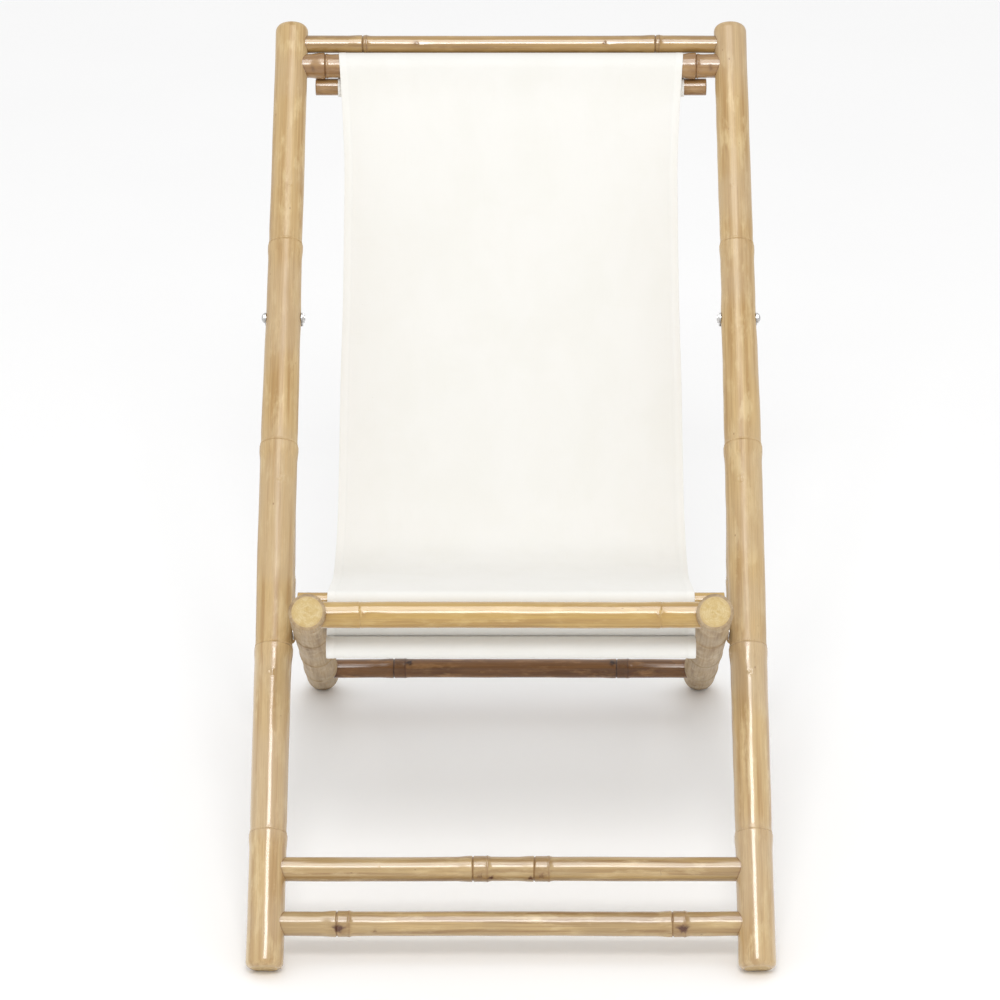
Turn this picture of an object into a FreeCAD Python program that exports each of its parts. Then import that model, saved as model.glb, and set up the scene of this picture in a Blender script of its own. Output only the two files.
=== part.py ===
import FreeCAD, Part
import math
import os
from FreeCAD import Vector

os.makedirs("parts", exist_ok=True)

# ---------------------------------------------------------------- sizes (mm)
# Side plane: y runs to the rear, z up, measured from the front feet. The whole
# chair is moved by y_centre at the end, so that its box is centred on y = 0.
y_centre = 394.6180

# long poles of the back frame, leaning back
beta = 50.0              # slope of the back frame, degrees
back_len = 1151.6
back_foot_z = 8.0        # height of the axis at the foot end
back_x_foot = 279.0      # distance of the axis from the middle, at the foot
back_x_taper = 0.0150    # the frame narrows towards the top
back_nodes = [157.6, 367.6, 620.6, 873.6]
back_radii = [(0.0, 21.8), (157.6, 21.5), (367.6, 21.65), (620.6, 22.0),
              (873.6, 19.9), (1151.6, 19.6)]   # distance up the pole, radius

# seat frame poles, sloping down to the rear
gamma = 28.98            # slope of the seat frame, degrees
seat_len = 868.4
seat_y_front = 33.6
seat_z_front = 433.7
seat_x_front = 225.8
seat_x_taper = 0.0150    # the frame widens towards the rear
seat_r_front = 20.7
seat_r_rear = 20.2
seat_nodes = [228.0, 500.0, 717.0]

# cross rails of the back frame: distance up the pole, radius
top_rail_s, top_rail_r = 1126.6, 10.3
canvas_rail_s, canvas_rail_r = 1098.9, 14.3
foot_up_s, foot_up_r = 115.5, 14.0
foot_lo_s, foot_lo_r = 52.1, 14.2

# cross rails of the seat frame: distance behind the front end, radius
front_rail_t, front_rail_r = 35.0, 14.75
front_bar_t, front_bar_n, front_bar_r = 68.0, 18.5, 10.0   # n: above the axis
front_bar_half = 239.0
rear_bar_t, rear_bar_r = 770.0, 11.9

# tenons and their pins
tenon_depth = 22.0
pin_r = 1.6

# main pivot
bolt_r = 4.0
run_gap = 0.05           # running clearance of a moving bore on its bolt

# prop
prop_pivot_s = 780.1     # distance of the prop bolt up the long pole
prop_r_top = 13.4
prop_r_foot = 13.8
prop_bar_r = 9.5
prop_rest_r = 270.0      # crossbar's place behind the main pivot
notch_step = 40.0
notch_depth = 3.0
notch_gap = 0.3
prop_offset = 39.0       # prop axis behind its pivot
prop_top_a = 5.0         # the prop's top end, below the pivot
rivet_a = 17.0
prop_tail = 17.0         # prop beyond the crossbar
strap_w = 12.5
strap_t = 1.2

# canvas and its rods
cloth = 1.2
cloth_gap = 0.3
hem_rod_r = 10.4
hem_rod_half = 233.5
front_rod_r = 10.4
front_rod_half = 200.0
sew_height = 19.0        # top of the front sleeve above the rod's axis
cloth_half_top = 200.3
cloth_half_front = 205.6

# ------------------------------------------------------------- basic helpers
cb, sb = math.cos(math.radians(beta)), math.sin(math.radians(beta))
cg, sg = math.cos(math.radians(gamma)), math.sin(math.radians(gamma))


def back_at(s):
    return (s * cb, back_foot_z + s * sb)


def seat_at(t, n=0.0):
    return (seat_y_front + t * cg + n * sg, seat_z_front - t * sg + n * cg)


def back_x(s):
    return back_x_foot - back_x_taper * s


def seat_x(t):
    return seat_x_front + seat_x_taper * t


def back_r(s):
    for (s0, r0), (s1, r1) in zip(back_radii, back_radii[1:]):
        if s <= s1:
            break
    return r0 + (r1 - r0) * (s - s0) / (s1 - s0)


def seat_r(t):
    return seat_r_front + (seat_r_rear - seat_r_front) * t / seat_len


def vec(side, x, yz):
    return Vector(side * x, yz[0], yz[1])


def place_z(shape, origin, direction):
    rot = FreeCAD.Rotation(Vector(0, 0, 1), direction)
    shape.Placement = FreeCAD.Placement(origin, rot).multiply(shape.Placement)
    return shape


def culm(p0, p1, r0, r1, nodes, end_r=6.0, ridge=0.8, rad=None):
    """A bamboo cane: a slightly conical round pole with a swollen ring at each
    node and rounded ends."""
    length = (p1 - p0).Length

    if rad is None:
        def rad(s):
            return r0 + (r1 - r0) * s / length

    edges = []
    pts = []
    e = end_r
    k = e * (1 - math.sqrt(0.5))
    a0 = Vector(0, 0, 0)
    a1 = Vector(rad(0) - e, 0, 0)
    a2 = Vector(rad(0), 0, e)
    edges.append(Part.makeLine(a0, a1))
    edges.append(Part.Arc(a1, Vector(rad(0) - k, 0, k), a2).toShape())
    pts.append(a2)
    for s in nodes:
        for ds, dr in ((-9, 0.0), (-2.6, ridge), (-0.9, ridge), (0.0, 0.15),
                       (0.9, ridge * 0.8), (3.2, ridge * 0.7), (10, 0.0)):
            pts.append(Vector(rad(s) + dr, 0, s + ds))
    b2 = Vector(rad(length), 0, length - e)
    pts.append(b2)
    for i in range(len(pts) - 1):
        edges.append(Part.makeLine(pts[i], pts[i + 1]))
    b1 = Vector(rad(length) - e, 0, length)
    b0 = Vector(0, 0, length)
    edges.append(Part.Arc(b2, Vector(rad(length) - k, 0, length - k), b1).toShape())
    edges.append(Part.makeLine(b1, b0))
    edges.append(Part.makeLine(b0, a0))
    face = Part.Face(Part.Wire(edges))
    solid = face.revolve(Vector(0, 0, 0), Vector(0, 0, 1), 360)
    return place_z(solid, p0, (p1 - p0).normalize())


def rod_x(x0, x1, yz, r):
    return Part.makeCylinder(r, x1 - x0, Vector(x0, yz[0], yz[1]), Vector(1, 0, 0))


def tenoned_rail(yz, r, tenon_r, x_pole, r_pole, poles, nodes=(), ridge=0.6):
    """A cross cane whose ends are coped to the poles, with a thinner tenon
    going into a blind hole in each."""
    half = x_pole - 2.0
    body = culm(Vector(-half, yz[0], yz[1]), Vector(half, yz[0], yz[1]),
                r, r, nodes, end_r=1.0, ridge=ridge)
    for p in poles:
        body = body.cut(p)
    parts = sorted(body.Solids, key=lambda q: q.Volume)
    body = parts[-1]
    reach = x_pole - r_pole + tenon_depth
    tenon = rod_x(-reach, reach, yz, tenon_r)
    return body.fuse(tenon).removeSplitter(), tenon


def single(shape):
    if shape.ShapeType == "Solid":
        return shape
    return sorted(shape.Solids, key=lambda q: q.Volume)[-1]


# ------------------------------------------------------------ derived places
# the poles' axes cross, seen from the side, at the main pivot
t_pivot = None
_den = sb * cg + cb * sg
# back_at(s) = seat_at(t)
s_pivot = ((seat_y_front) * sg + (seat_z_front - back_foot_z) * cg) / _den
_pv = back_at(s_pivot)
t_pivot = (_pv[0] - seat_y_front) / cg
pivot = _pv
prop_pivot = back_at(prop_pivot_s)

bar_height = seat_r(t_pivot + prop_rest_r) - notch_depth + prop_bar_r + notch_gap
prop_bar = seat_at(t_pivot + prop_rest_r, bar_height)
_dx, _dz = prop_bar[0] - prop_pivot[0], prop_bar[1] - prop_pivot[1]
_dist = math.hypot(_dx, _dz)
prop_len = math.sqrt(_dist ** 2 - prop_offset ** 2)
prop_angle = math.atan2(_dz, _dx) - math.atan2(prop_offset, prop_len)
pd = (math.cos(prop_angle), math.sin(prop_angle))      # down the prop
pn = (-pd[1], pd[0])                                   # behind the prop


def prop_at(a, n=prop_offset):
    return (prop_pivot[0] + pd[0] * a + pn[0] * n,
            prop_pivot[1] + pd[1] * a + pn[1] * n)


prop_x_top = back_x(prop_pivot_s)


def prop_x(a):
    return prop_x_top + back_x_taper * a


prop_fold_deg = math.degrees(prop_angle) % 360 - (180 + beta)
prop_fold_deg = -prop_fold_deg

# ---------------------------------------------------------------- the pieces
node = {}
floor_cut = Part.makeBox(1400, 3000, 400, Vector(-700, -1000, -400))
inf_r = 30.0

back_poles = {}
seat_poles = {}
prop_poles = {}
for side, name in ((-1, "left"), (1, "right")):
    p0 = vec(side, back_x(0), back_at(0))
    p1 = vec(side, back_x(back_len), back_at(back_len))
    nd = back_nodes
    back_poles[side] = culm(p0, p1, 0, 0, nd, end_r=11.0, rad=back_r)
    q0 = vec(side, seat_x(0), seat_at(0))
    q1 = vec(side, seat_x(seat_len), seat_at(seat_len))
    seat_poles[side] = culm(q0, q1, seat_r_front, seat_r_rear, seat_nodes, end_r=4.5)
    r0 = vec(side, prop_x(prop_top_a), prop_at(prop_top_a))
    r1 = vec(side, prop_x(prop_len + prop_tail), prop_at(prop_len + prop_tail))
    prop_poles[side] = culm(r0, r1, prop_r_top, prop_r_foot, [137.0, 330.0],
                            end_r=4.0, ridge=0.6)

# rails of the back frame
rails_back = {
    "top_rail": (top_rail_s, top_rail_r, 7.0, [84.8, 438.6]),
    "canvas_rail": (canvas_rail_s, canvas_rail_r, 9.5, [41.5, 482.5]),
    "foot_rail_upper": (foot_up_s, foot_up_r, 9.5, [240.7, 310.7]),
    "foot_rail_lower": (foot_lo_s, foot_lo_r, 9.5, [87.6, 465.6]),
}
pins_back = []
for name, (s, r, tr, nd) in rails_back.items():
    poles = [back_poles[-1], back_poles[1]]
    rail, tenon = tenoned_rail(back_at(s), r, tr, back_x(s), back_r(s), poles, nd)
    node[name] = rail
    for side in (-1, 1):
        back_poles[side] = single(back_poles[side].cut(tenon))

# rails of the seat frame
rails_seat = {
    "front_rail": (front_rail_t, 0.0, front_rail_r, 10.0, [58.0, 393.0]),
    "rear_crossbar": (rear_bar_t, 0.0, rear_bar_r, 8.0, [96.4, 374.4]),
}
for name, (t, n, r, tr, nd) in rails_seat.items():
    poles = [seat_poles[-1], seat_poles[1]]
    rail, tenon = tenoned_rail(seat_at(t, n), r, tr, seat_x(t), seat_r(t), poles, nd)
    node[name] = rail
    for side in (-1, 1):
        seat_poles[side] = single(seat_poles[side].cut(tenon))

# crossbar of the prop
rail, tenon = tenoned_rail(prop_bar, prop_bar_r, 6.0, prop_x(prop_len), prop_r_foot,
                           [prop_poles[-1], prop_poles[1]], [130.0, 390.0], ridge=0.0)
node["prop_crossbar"] = rail
for side in (-1, 1):
    prop_poles[side] = single(prop_poles[side].cut(tenon))

# canvas bar of the seat frame, let into saddles on top of the seat poles
bar_c = seat_at(front_bar_t, front_bar_n)
bar = culm(Vector(-front_bar_half, bar_c[0], bar_c[1]),
           Vector(front_bar_half, bar_c[0], bar_c[1]),
           front_bar_r, front_bar_r, [], end_r=1.5)
saddle = rod_x(-300, 300, bar_c, front_bar_r)
for side in (-1, 1):
    seat_poles[side] = single(seat_poles[side].cut(saddle))
node["canvas_bar_front"] = bar

# three rest notches for the prop crossbar on top of each seat pole
for k in (-1, 0, 1):
    t = t_pivot + prop_rest_r + k * notch_step
    nr = prop_bar_r + notch_gap
    c = seat_at(t, seat_r(t) - notch_depth + nr)
    cyl = rod_x(-320, 320, c, nr)
    for side in (-1, 1):
        seat_poles[side] = single(seat_poles[side].cut(cyl))

# pins through the tenons, driven in from the rear
pin_len = 26.0
pins = []
for name, (s, r, tr, nd) in rails_back.items():
    for side in (-1, 1):
        xx = back_x(s) - back_r(s) * 0.30
        c = back_at(s)
        d = Vector(0, sb, -cb)
        base = Vector(side * xx, c[0], c[1]) + d * (-tr * 0.6)
        out = Vector(side * xx, c[0], c[1]) + d * (math.sqrt(back_r(s) ** 2 - (back_r(s) * 0.3) ** 2))
        h = (out - base).Length
        pins.append(Part.makeCylinder(pin_r, h, base, d))
for pin in pins:
    for side in (-1, 1):
        back_poles[side] = single(back_poles[side].cut(pin))
    for name in rails_back:
        if node[name].common(pin).Volume > 0.01:
            node[name] = single(node[name].cut(pin))
node["back_rail_pins"] = Part.makeCompound(pins)

pins = []
for name, (t, n, r, tr, nd) in rails_seat.items():
    for side in (-1, 1):
        xx = seat_x(t) - seat_r(t) * 0.30
        c = seat_at(t, n)
        d = Vector(0, -sg, -cg)
        base = Vector(side * xx, c[0], c[1]) + d * (-tr * 0.6)
        out = Vector(side * xx, c[0], c[1]) + d * (math.sqrt(seat_r(t) ** 2 - (seat_r(t) * 0.3) ** 2))
        pins.append(Part.makeCylinder(pin_r, (out - base).Length, base, d))
for pin in pins:
    for side in (-1, 1):
        seat_poles[side] = single(seat_poles[side].cut(pin))
    for name in rails_seat:
        if node[name].common(pin).Volume > 0.01:
            node[name] = single(node[name].cut(pin))
node["seat_rail_pins"] = Part.makeCompound(pins)

pins = []
for side in (-1, 1):
    xx = prop_x(prop_len) - prop_r_foot * 0.25
    c = prop_bar
    d = Vector(0, pn[0], pn[1])
    base = Vector(side * xx, c[0], c[1]) + d * (-4.0)
    hh = math.sqrt(prop_r_foot ** 2 - (prop_r_foot * 0.25) ** 2)
    pins.append(Part.makeCylinder(1.3, 4.0 + hh, base, d))
for pin in pins:
    for side in (-1, 1):
        prop_poles[side] = single(prop_poles[side].cut(pin))
    node["prop_crossbar"] = single(node["prop_crossbar"].cut(pin))
node["prop_pins"] = Part.makeCompound(pins)

# screws that hold the canvas bar down in its saddles
screws = []
for side in (-1, 1):
    x = side * seat_x(front_bar_t)
    d = Vector(0, -sg, -cg)
    top = Vector(x, bar_c[0], bar_c[1]) - d * front_bar_r
    shank = Part.makeCylinder(1.75, 38.0, top + d * 0.6, d)
    head = Part.makeCone(3.6, 1.75, 2.4, top + d * 0.6, d)
    screws.append(shank.fuse(head).removeSplitter())
    clear_above = Part.makeCylinder(3.6, 3.0, top + d * 0.6, d * -1)
    node["canvas_bar_front"] = single(node["canvas_bar_front"].cut(clear_above))
for sc in screws:
    node["canvas_bar_front"] = single(node["canvas_bar_front"].cut(sc))
    for side in (-1, 1):
        seat_poles[side] = single(seat_poles[side].cut(sc))
node["canvas_bar_screws"] = Part.makeCompound(screws)

# main pivots: bolt with a domed head sunk in the long pole, nut sunk in the
# seat pole, one spacer washer between the two poles
bolts, nuts, spacers, washers = [], [], [], []
sxr, sxt = seat_r(t_pivot), seat_x(t_pivot)
bxr, bxs = back_r(s_pivot), back_x(s_pivot)
x_out = bxs + bxr
head_floor = x_out - 7.0
seat_inner = sxt - sxr
nut_floor = seat_inner + 9.5
for side in (-1, 1):
    def cyl(x0, x1, r, c=pivot):
        a, b = sorted((side * x0, side * x1))
        return rod_x(a, b, c, r)
    head = cyl(head_floor, head_floor + 3.4, 7.5)
    dome = Part.makeSphere(10.6, Vector(side * (head_floor + 3.4 - 7.5), pivot[0], pivot[1]))
    dome = dome.common(cyl(head_floor + 3.4, head_floor + 9, 7.5))
    shank = cyl(seat_inner + 0.8, head_floor, bolt_r)
    bolts.append(shank.fuse(head).fuse(dome).removeSplitter())
    back_poles[side] = single(back_poles[side].cut(cyl(head_floor, x_out + 10, 8.4)))
    back_poles[side] = single(back_poles[side].cut(cyl(bxs - bxr - 5, head_floor + 1, bolt_r)))
    # seat pole: running bore and pocket for the nut
    seat_poles[side] = single(seat_poles[side].cut(cyl(sxt - sxr - 5, sxt + sxr + 5, bolt_r + run_gap)))
    seat_poles[side] = single(seat_poles[side].cut(cyl(seat_inner - 5, nut_floor, 9.6)))
    wsh = cyl(nut_floor - 0.3 - 1.4, nut_floor - 0.3, 8.6).cut(cyl(nut_floor - 5, nut_floor + 1, bolt_r))
    washers.append(wsh)
    # hexagonal nut
    hx = []
    for k in range(7):
        a = math.radians(60 * k + 30)
        hx.append(Vector(0, pivot[0] + 7.5 * math.cos(a), pivot[1] + 7.5 * math.sin(a)))
    f = Part.Face(Part.makePolygon(hx))
    x0 = side * (nut_floor - 1.7)
    nut = f.extrude(Vector(-side * 6.0, 0, 0))
    nut.translate(Vector(x0, 0, 0))
    nut = nut.cut(cyl(0, 400, bolt_r))
    nuts.append(single(nut))
    gap_in, gap_out = sxt + sxr, bxs - bxr
    mid = 0.5 * (gap_in + gap_out)
    th = (gap_out - gap_in) - 0.5
    sp = cyl(mid - th / 2, mid + th / 2, 9.0).cut(cyl(100, 400, bolt_r))
    spacers.append(sp)
node["main_pivot_bolts"] = Part.makeCompound(bolts)
node["main_pivot_nuts"] = Part.makeCompound(nuts)
node["main_pivot_washers"] = Part.makeCompound(washers)
node["pivot_spacers"] = Part.makeCompound(spacers)

# prop pivots: bolt through the long pole with a domed head outside and a nut
# inside, and on each side of the pole a cranked steel strap to the prop
pb, pnuts, straps, rivets = [], [], [], []
pr, px = back_r(prop_pivot_s), back_x(prop_pivot_s)
strap_in = pr + 0.30                         # inner face of a strap, from the axis
rv = prop_at(rivet_a)
ev = (rv[0] - prop_pivot[0], rv[1] - prop_pivot[1])
el = math.hypot(*ev)
e1 = Vector(0, ev[0] / el, ev[1] / el)       # along the strap
e2 = Vector(0, -ev[1] / el, ev[0] / el)      # across it
rivet_x = prop_x(rivet_a)
bolt3 = 3.0
for side in (-1, 1):
    for s2 in (-1, 1):                       # outer and inner strap
        x_a = side * px + side * s2 * strap_in
        x_b = side * rivet_x + side * s2 * (prop_r_top + 0.15)
        dirx = side * s2
        o = Vector(0, prop_pivot[0], prop_pivot[1])

        def pt(l, x):
            return o + e1 * l + Vector(x, 0, 0)
        poly = [pt(-7.0, x_a), pt(24.0, x_a), pt(32.5, x_b), pt(el + 7.0, x_b),
                pt(el + 7.0, x_b + dirx * strap_t), pt(32.9, x_b + dirx * strap_t),
                pt(24.4, x_a + dirx * strap_t), pt(-7.0, x_a + dirx * strap_t)]
        f = Part.Face(Part.makePolygon(poly + [poly[0]]))
        f.translate(e2 * (-strap_w / 2))
        st = f.extrude(e2 * strap_w)
        # round both ends, seen from the side
        r_end = strap_w / 2
        outline = Part.makeCylinder(r_end, 700, Vector(-350, prop_pivot[0], prop_pivot[1]), Vector(1, 0, 0))
        outline = outline.fuse(Part.makeCylinder(r_end, 700, Vector(-350, rv[0], rv[1]), Vector(1, 0, 0)))
        box_pts = [o + e1 * 0 + e2 * (-r_end), o + e1 * el + e2 * (-r_end),
                   o + e1 * el + e2 * r_end, o + e1 * 0 + e2 * r_end]
        bf = Part.Face(Part.makePolygon(box_pts + [box_pts[0]]))
        bf.translate(Vector(-350, 0, 0))
        outline = outline.fuse(bf.extrude(Vector(700, 0, 0)))
        st = single(st.common(outline))
        st = st.cut(rod_x(-400, 400, prop_pivot, bolt3 + run_gap))
        st = single(st.cut(rod_x(-400, 400, rv, 2.5)))
        straps.append(st)
    x_in = px - strap_in - strap_t - 0.2
    x_ou = px + strap_in + strap_t + 0.2

    def cyl(x0, x1, r, c=prop_pivot):
        a, b = sorted((side * x0, side * x1))
        return rod_x(a, b, c, r)
    # pan head: a low dome
    head = Part.makeSphere(7.2, Vector(side * (x_ou - 3.6), prop_pivot[0], prop_pivot[1]))
    head = head.common(cyl(x_ou, x_ou + 6, 5.6))
    base = cyl(x_ou, x_ou + 0.9, 5.6)
    shank = cyl(x_in - 3.0, x_ou + 0.5, bolt3)
    pb.append(single(shank.fuse(base).fuse(head).removeSplitter()))
    back_poles[side] = single(back_poles[side].cut(cyl(px - pr - 5, px + pr + 5, bolt3)))
    hx = []
    for k in range(7):
        a = math.radians(60 * k + 30)
        hx.append(Vector(0, prop_pivot[0] + 6.2 * math.cos(a), prop_pivot[1] + 6.2 * math.sin(a)))
    f = Part.Face(Part.makePolygon(hx))
    f.translate(Vector(side * x_in, 0, 0))
    nut = f.extrude(Vector(-side * 2.4, 0, 0)).cut(cyl(0, 400, bolt3))
    pnuts.append(single(nut))
    # rivet through the prop's top and both straps
    rr = 2.5
    xo = rivet_x + prop_r_top + 0.15 + strap_t
    xi = rivet_x - prop_r_top - 0.15 - strap_t

    def cylr(x0, x1, r):
        a, b = sorted((side * x0, side * x1))
        return rod_x(a, b, rv, r)
    rivet = cylr(xi - 1.2, xo + 1.2, rr).fuse(cylr(xo, xo + 1.2, 4.4)).fuse(cylr(xi - 1.2, xi, 4.4))
    rivets.append(single(rivet.removeSplitter()))
    prop_poles[side] = single(prop_poles[side].cut(cylr(rivet_x - 20, rivet_x + 20, rr)))
node["prop_pivot_bolts"] = Part.makeCompound(pb)
node["prop_pivot_nuts"] = Part.makeCompound(pnuts)
node["prop_hinge_straps"] = Part.makeCompound(straps)
node["strap_rivets"] = Part.makeCompound(rivets)

# poles, with the small flats worn on the four feet
for side, name in ((-1, "left"), (1, "right")):
    node["back_pole_" + name] = single(back_poles[side].cut(floor_cut))
    node["seat_pole_" + name] = single(seat_poles[side].cut(floor_cut))
    node["prop_pole_" + name] = prop_poles[side]

# --------------------------------------------------------------- canvas rods
rail_c = back_at(canvas_rail_s)
hem_c = (rail_c[0] + 2.0, rail_c[1] - 26.8)
node["hem_rod_top"] = culm(Vector(-hem_rod_half, hem_c[0], hem_c[1]),
                           Vector(hem_rod_half, hem_c[0], hem_c[1]),
                           hem_rod_r, hem_rod_r, [], end_r=1.5)
front_rod_c = (bar_c[0] - 0.3, bar_c[1] - 57.0)
node["hem_rod_front"] = culm(Vector(-front_rod_half, front_rod_c[0], front_rod_c[1]),
                             Vector(front_rod_half, front_rod_c[0], front_rod_c[1]),
                             front_rod_r, front_rod_r, [], end_r=1.5)

# ------------------------------------------------------------------- canvas
# the path of the middle of the cloth, in the side plane


def arc(c, r, a0, a1, step=12.0):
    n = max(2, int(abs(a1 - a0) / step) + 1)
    return [(c[0] + r * math.cos(math.radians(a0 + (a1 - a0) * i / n)),
             c[1] + r * math.sin(math.radians(a0 + (a1 - a0) * i / n))) for i in range(n + 1)]


half = cloth / 2.0
r_hem = hem_rod_r + cloth_gap + half
r_rail = canvas_rail_r + cloth_gap + half
r_bar = front_bar_r + cloth_gap + half
r_fr = front_rod_r + cloth_gap + half

# rear tangent from the hem rod up to the canvas rail
dy, dz = rail_c[0] - hem_c[0], rail_c[1] - hem_c[1]
dd = math.hypot(dy, dz)
ang = math.degrees(math.atan2(dz, dy))
off = math.degrees(math.asin((r_hem - r_rail) / dd))
a_tan = ang - 90 + off          # direction of both tangent points
path = []
path += arc(hem_c, r_hem, a_tan - 318, a_tan)
sling = [(687.6, 826.3), (671.6, 780.3), (649.6, 720.3), (618.6, 649.3), (577.6, 571.3),
         (527.6, 492.3), (481.6, 424.3), (443.6, 376.3), (408.6, 353.3),
         (368.6, 349.3), (318.6, 359.3), (253.6, 380.3), (178.6, 405.3)]
# over the canvas rail: from the rear tangent, over the top, to the front
fdir = math.degrees(math.atan2(sling[0][1] - rail_c[1], sling[0][0] - rail_c[0]))
fd = math.hypot(sling[0][0] - rail_c[0], sling[0][1] - rail_c[1])
a_front = fdir - math.degrees(math.acos(min(1.0, r_rail / fd)))
a_front = a_front % 360
path += arc(rail_c, r_rail, a_tan, a_front)
path += sling
# over the front bar: arrive tangentially on its rear side, leave towards the
# rear side of the front rod
bdir = math.degrees(math.atan2(sling[-1][1] - bar_c[1], sling[-1][0] - bar_c[0]))
bd = math.hypot(sling[-1][0] - bar_c[0], sling[-1][1] - bar_c[1])
a_bar = bdir + math.degrees(math.acos(r_bar / bd))
rod_dy, rod_dz = front_rod_c[0] - bar_c[0], front_rod_c[1] - bar_c[1]
a_off = math.degrees(math.atan2(rod_dz, rod_dy)) % 360 - math.degrees(
    math.acos((r_bar + r_fr) / math.hypot(rod_dy, rod_dz)))
path += arc(bar_c, r_bar, a_bar, a_off)
# under the rod, up in front of it and on to the hanging cloth, where it is sewn
nf = (math.cos(math.radians(a_off)), math.sin(math.radians(a_off)))
p_a = (bar_c[0] + nf[0] * r_bar, bar_c[1] + nf[1] * r_bar)
p_b = (front_rod_c[0] - nf[0] * r_fr, front_rod_c[1] - nf[1] * r_fr)
k_sew = (front_rod_c[1] + sew_height - p_b[1]) / (p_a[1] - p_b[1])
sew = (p_b[0] + (p_a[0] - p_b[0]) * k_sew + nf[0] * (cloth + 0.5),
       p_b[1] + (p_a[1] - p_b[1]) * k_sew + nf[1] * (cloth + 0.5))
sew_dir = math.degrees(math.atan2(sew[1] - front_rod_c[1], sew[0] - front_rod_c[0]))
sew_d = math.hypot(sew[0] - front_rod_c[0], sew[1] - front_rod_c[1])
a_up = sew_dir + math.degrees(math.acos(r_fr / sew_d)) - 360.0
path += arc(front_rod_c, r_fr, a_off - 180.0, a_up)
path += [sew]

clean = [path[0]]
for p in path[1:]:
    if math.hypot(p[0] - clean[-1][0], p[1] - clean[-1][1]) > 0.8:
        clean.append(p)
path = clean
left, right = [], []
for i, p in enumerate(path):
    a = path[max(0, i - 1)]
    b = path[min(len(path) - 1, i + 1)]
    tx, tz = b[0] - a[0], b[1] - a[1]
    ln = math.hypot(tx, tz)
    nx, nz = -tz / ln, tx / ln
    left.append((p[0] + nx * half, p[1] + nz * half))
    right.append((p[0] - nx * half, p[1] - nz * half))
loop = left + right[::-1]
verts = [Vector(-260, q[0], q[1]) for q in loop]
sheet = Part.Face(Part.makePolygon(verts + [verts[0]])).extrude(Vector(520, 0, 0))
# the cloth narrows a little towards the top
y_f, y_t = bar_c[0] - 20.0, rail_c[0] + 25.0
mask_pts = [Vector(-cloth_half_front, y_f, -50), Vector(cloth_half_front, y_f, -50),
            Vector(cloth_half_top, y_t, -50), Vector(-cloth_half_top, y_t, -50)]
mask = Part.Face(Part.makePolygon(mask_pts + [mask_pts[0]])).extrude(Vector(0, 0, 1200))
node["sling_canvas"] = single(sheet.common(mask))
cloth_length = sum(math.hypot(path[i + 1][0] - path[i][0], path[i + 1][1] - path[i][1])
                   for i in range(len(path) - 1))

# ------------------------------------------------------------------- output
shift = Vector(0, -y_centre, 0)
box = FreeCAD.BoundBox()
for name, shape in node.items():
    shape.translate(shift)
    box.add(shape.BoundBox)
    shape.exportStep("parts/" + name + ".step")

print("box x %.2f %.2f  y %.2f %.2f  z %.2f %.2f" % (box.XMin, box.XMax, box.YMin, box.YMax, box.ZMin, box.ZMax))
print("y centre now %.3f" % ((box.YMin + box.YMax) / 2))
print("pivot s %.2f t %.2f at y %.2f z %.2f" % (s_pivot, t_pivot, pivot[0] - y_centre, pivot[1]))
print("prop pivot at y %.2f z %.2f" % (prop_pivot[0] - y_centre, prop_pivot[1]))
print("prop bar at y %.2f z %.2f  length %.2f  angle %.3f  fold %.3f" % (
    prop_bar[0] - y_centre, prop_bar[1], prop_len, math.degrees(prop_angle), prop_fold_deg))
print("cloth path %.1f, from %.1f to %.1f wide" % (cloth_length, 2 * cloth_half_top, 2 * cloth_half_front))
for name, shape in sorted(node.items()):
    print("%-20s solids %d valid %s volume %.0f" % (name, len(shape.Solids), shape.isValid(), shape.Volume))
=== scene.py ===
import bpy
import math
import numpy as np
from mathutils import Matrix, Vector


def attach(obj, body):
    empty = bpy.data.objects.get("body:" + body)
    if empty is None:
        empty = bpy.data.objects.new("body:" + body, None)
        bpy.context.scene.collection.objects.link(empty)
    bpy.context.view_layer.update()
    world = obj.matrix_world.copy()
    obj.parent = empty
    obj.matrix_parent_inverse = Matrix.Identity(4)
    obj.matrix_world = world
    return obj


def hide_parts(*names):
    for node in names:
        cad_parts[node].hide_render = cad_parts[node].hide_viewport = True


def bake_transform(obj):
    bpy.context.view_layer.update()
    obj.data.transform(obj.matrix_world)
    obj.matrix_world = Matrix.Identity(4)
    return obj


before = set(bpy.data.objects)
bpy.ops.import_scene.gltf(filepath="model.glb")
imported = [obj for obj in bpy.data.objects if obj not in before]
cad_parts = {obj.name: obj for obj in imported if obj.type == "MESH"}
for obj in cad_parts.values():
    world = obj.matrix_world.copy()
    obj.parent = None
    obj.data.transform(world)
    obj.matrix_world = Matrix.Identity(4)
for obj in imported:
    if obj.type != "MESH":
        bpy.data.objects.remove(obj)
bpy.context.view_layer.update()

MM = 0.001
YC = 394.6180

# ------------------------------------------------------------------ sizes, mm
beta, gamma = math.radians(50.0), math.radians(28.98)
cb, sb, cg, sg = math.cos(beta), math.sin(beta), math.cos(gamma), math.sin(gamma)
BACK_LEN, SEAT_LEN = 1151.6, 868.4


def back_at(s):
    return (s * cb, 8.0 + s * sb)


def seat_at(t, n=0.0):
    return (33.6 + t * cg + n * sg, 433.7 - t * sg + n * cg)


def back_x(s):
    return 279.0 - 0.0150 * s


def seat_x(t):
    return 225.8 + 0.0150 * t


def back_r(s):
    return np.interp(s, [0.0, 157.6, 367.6, 620.6, 873.6, 1151.6], [21.8, 21.5, 21.65, 22.0, 19.9, 19.6])


def seat_r(t):
    return 20.7 - 0.5 * t / SEAT_LEN


def P(x, yz):
    """A point of the side plane, as a vector in mm in the shared frame."""
    return Vector((x, yz[0] - YC, yz[1]))


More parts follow.
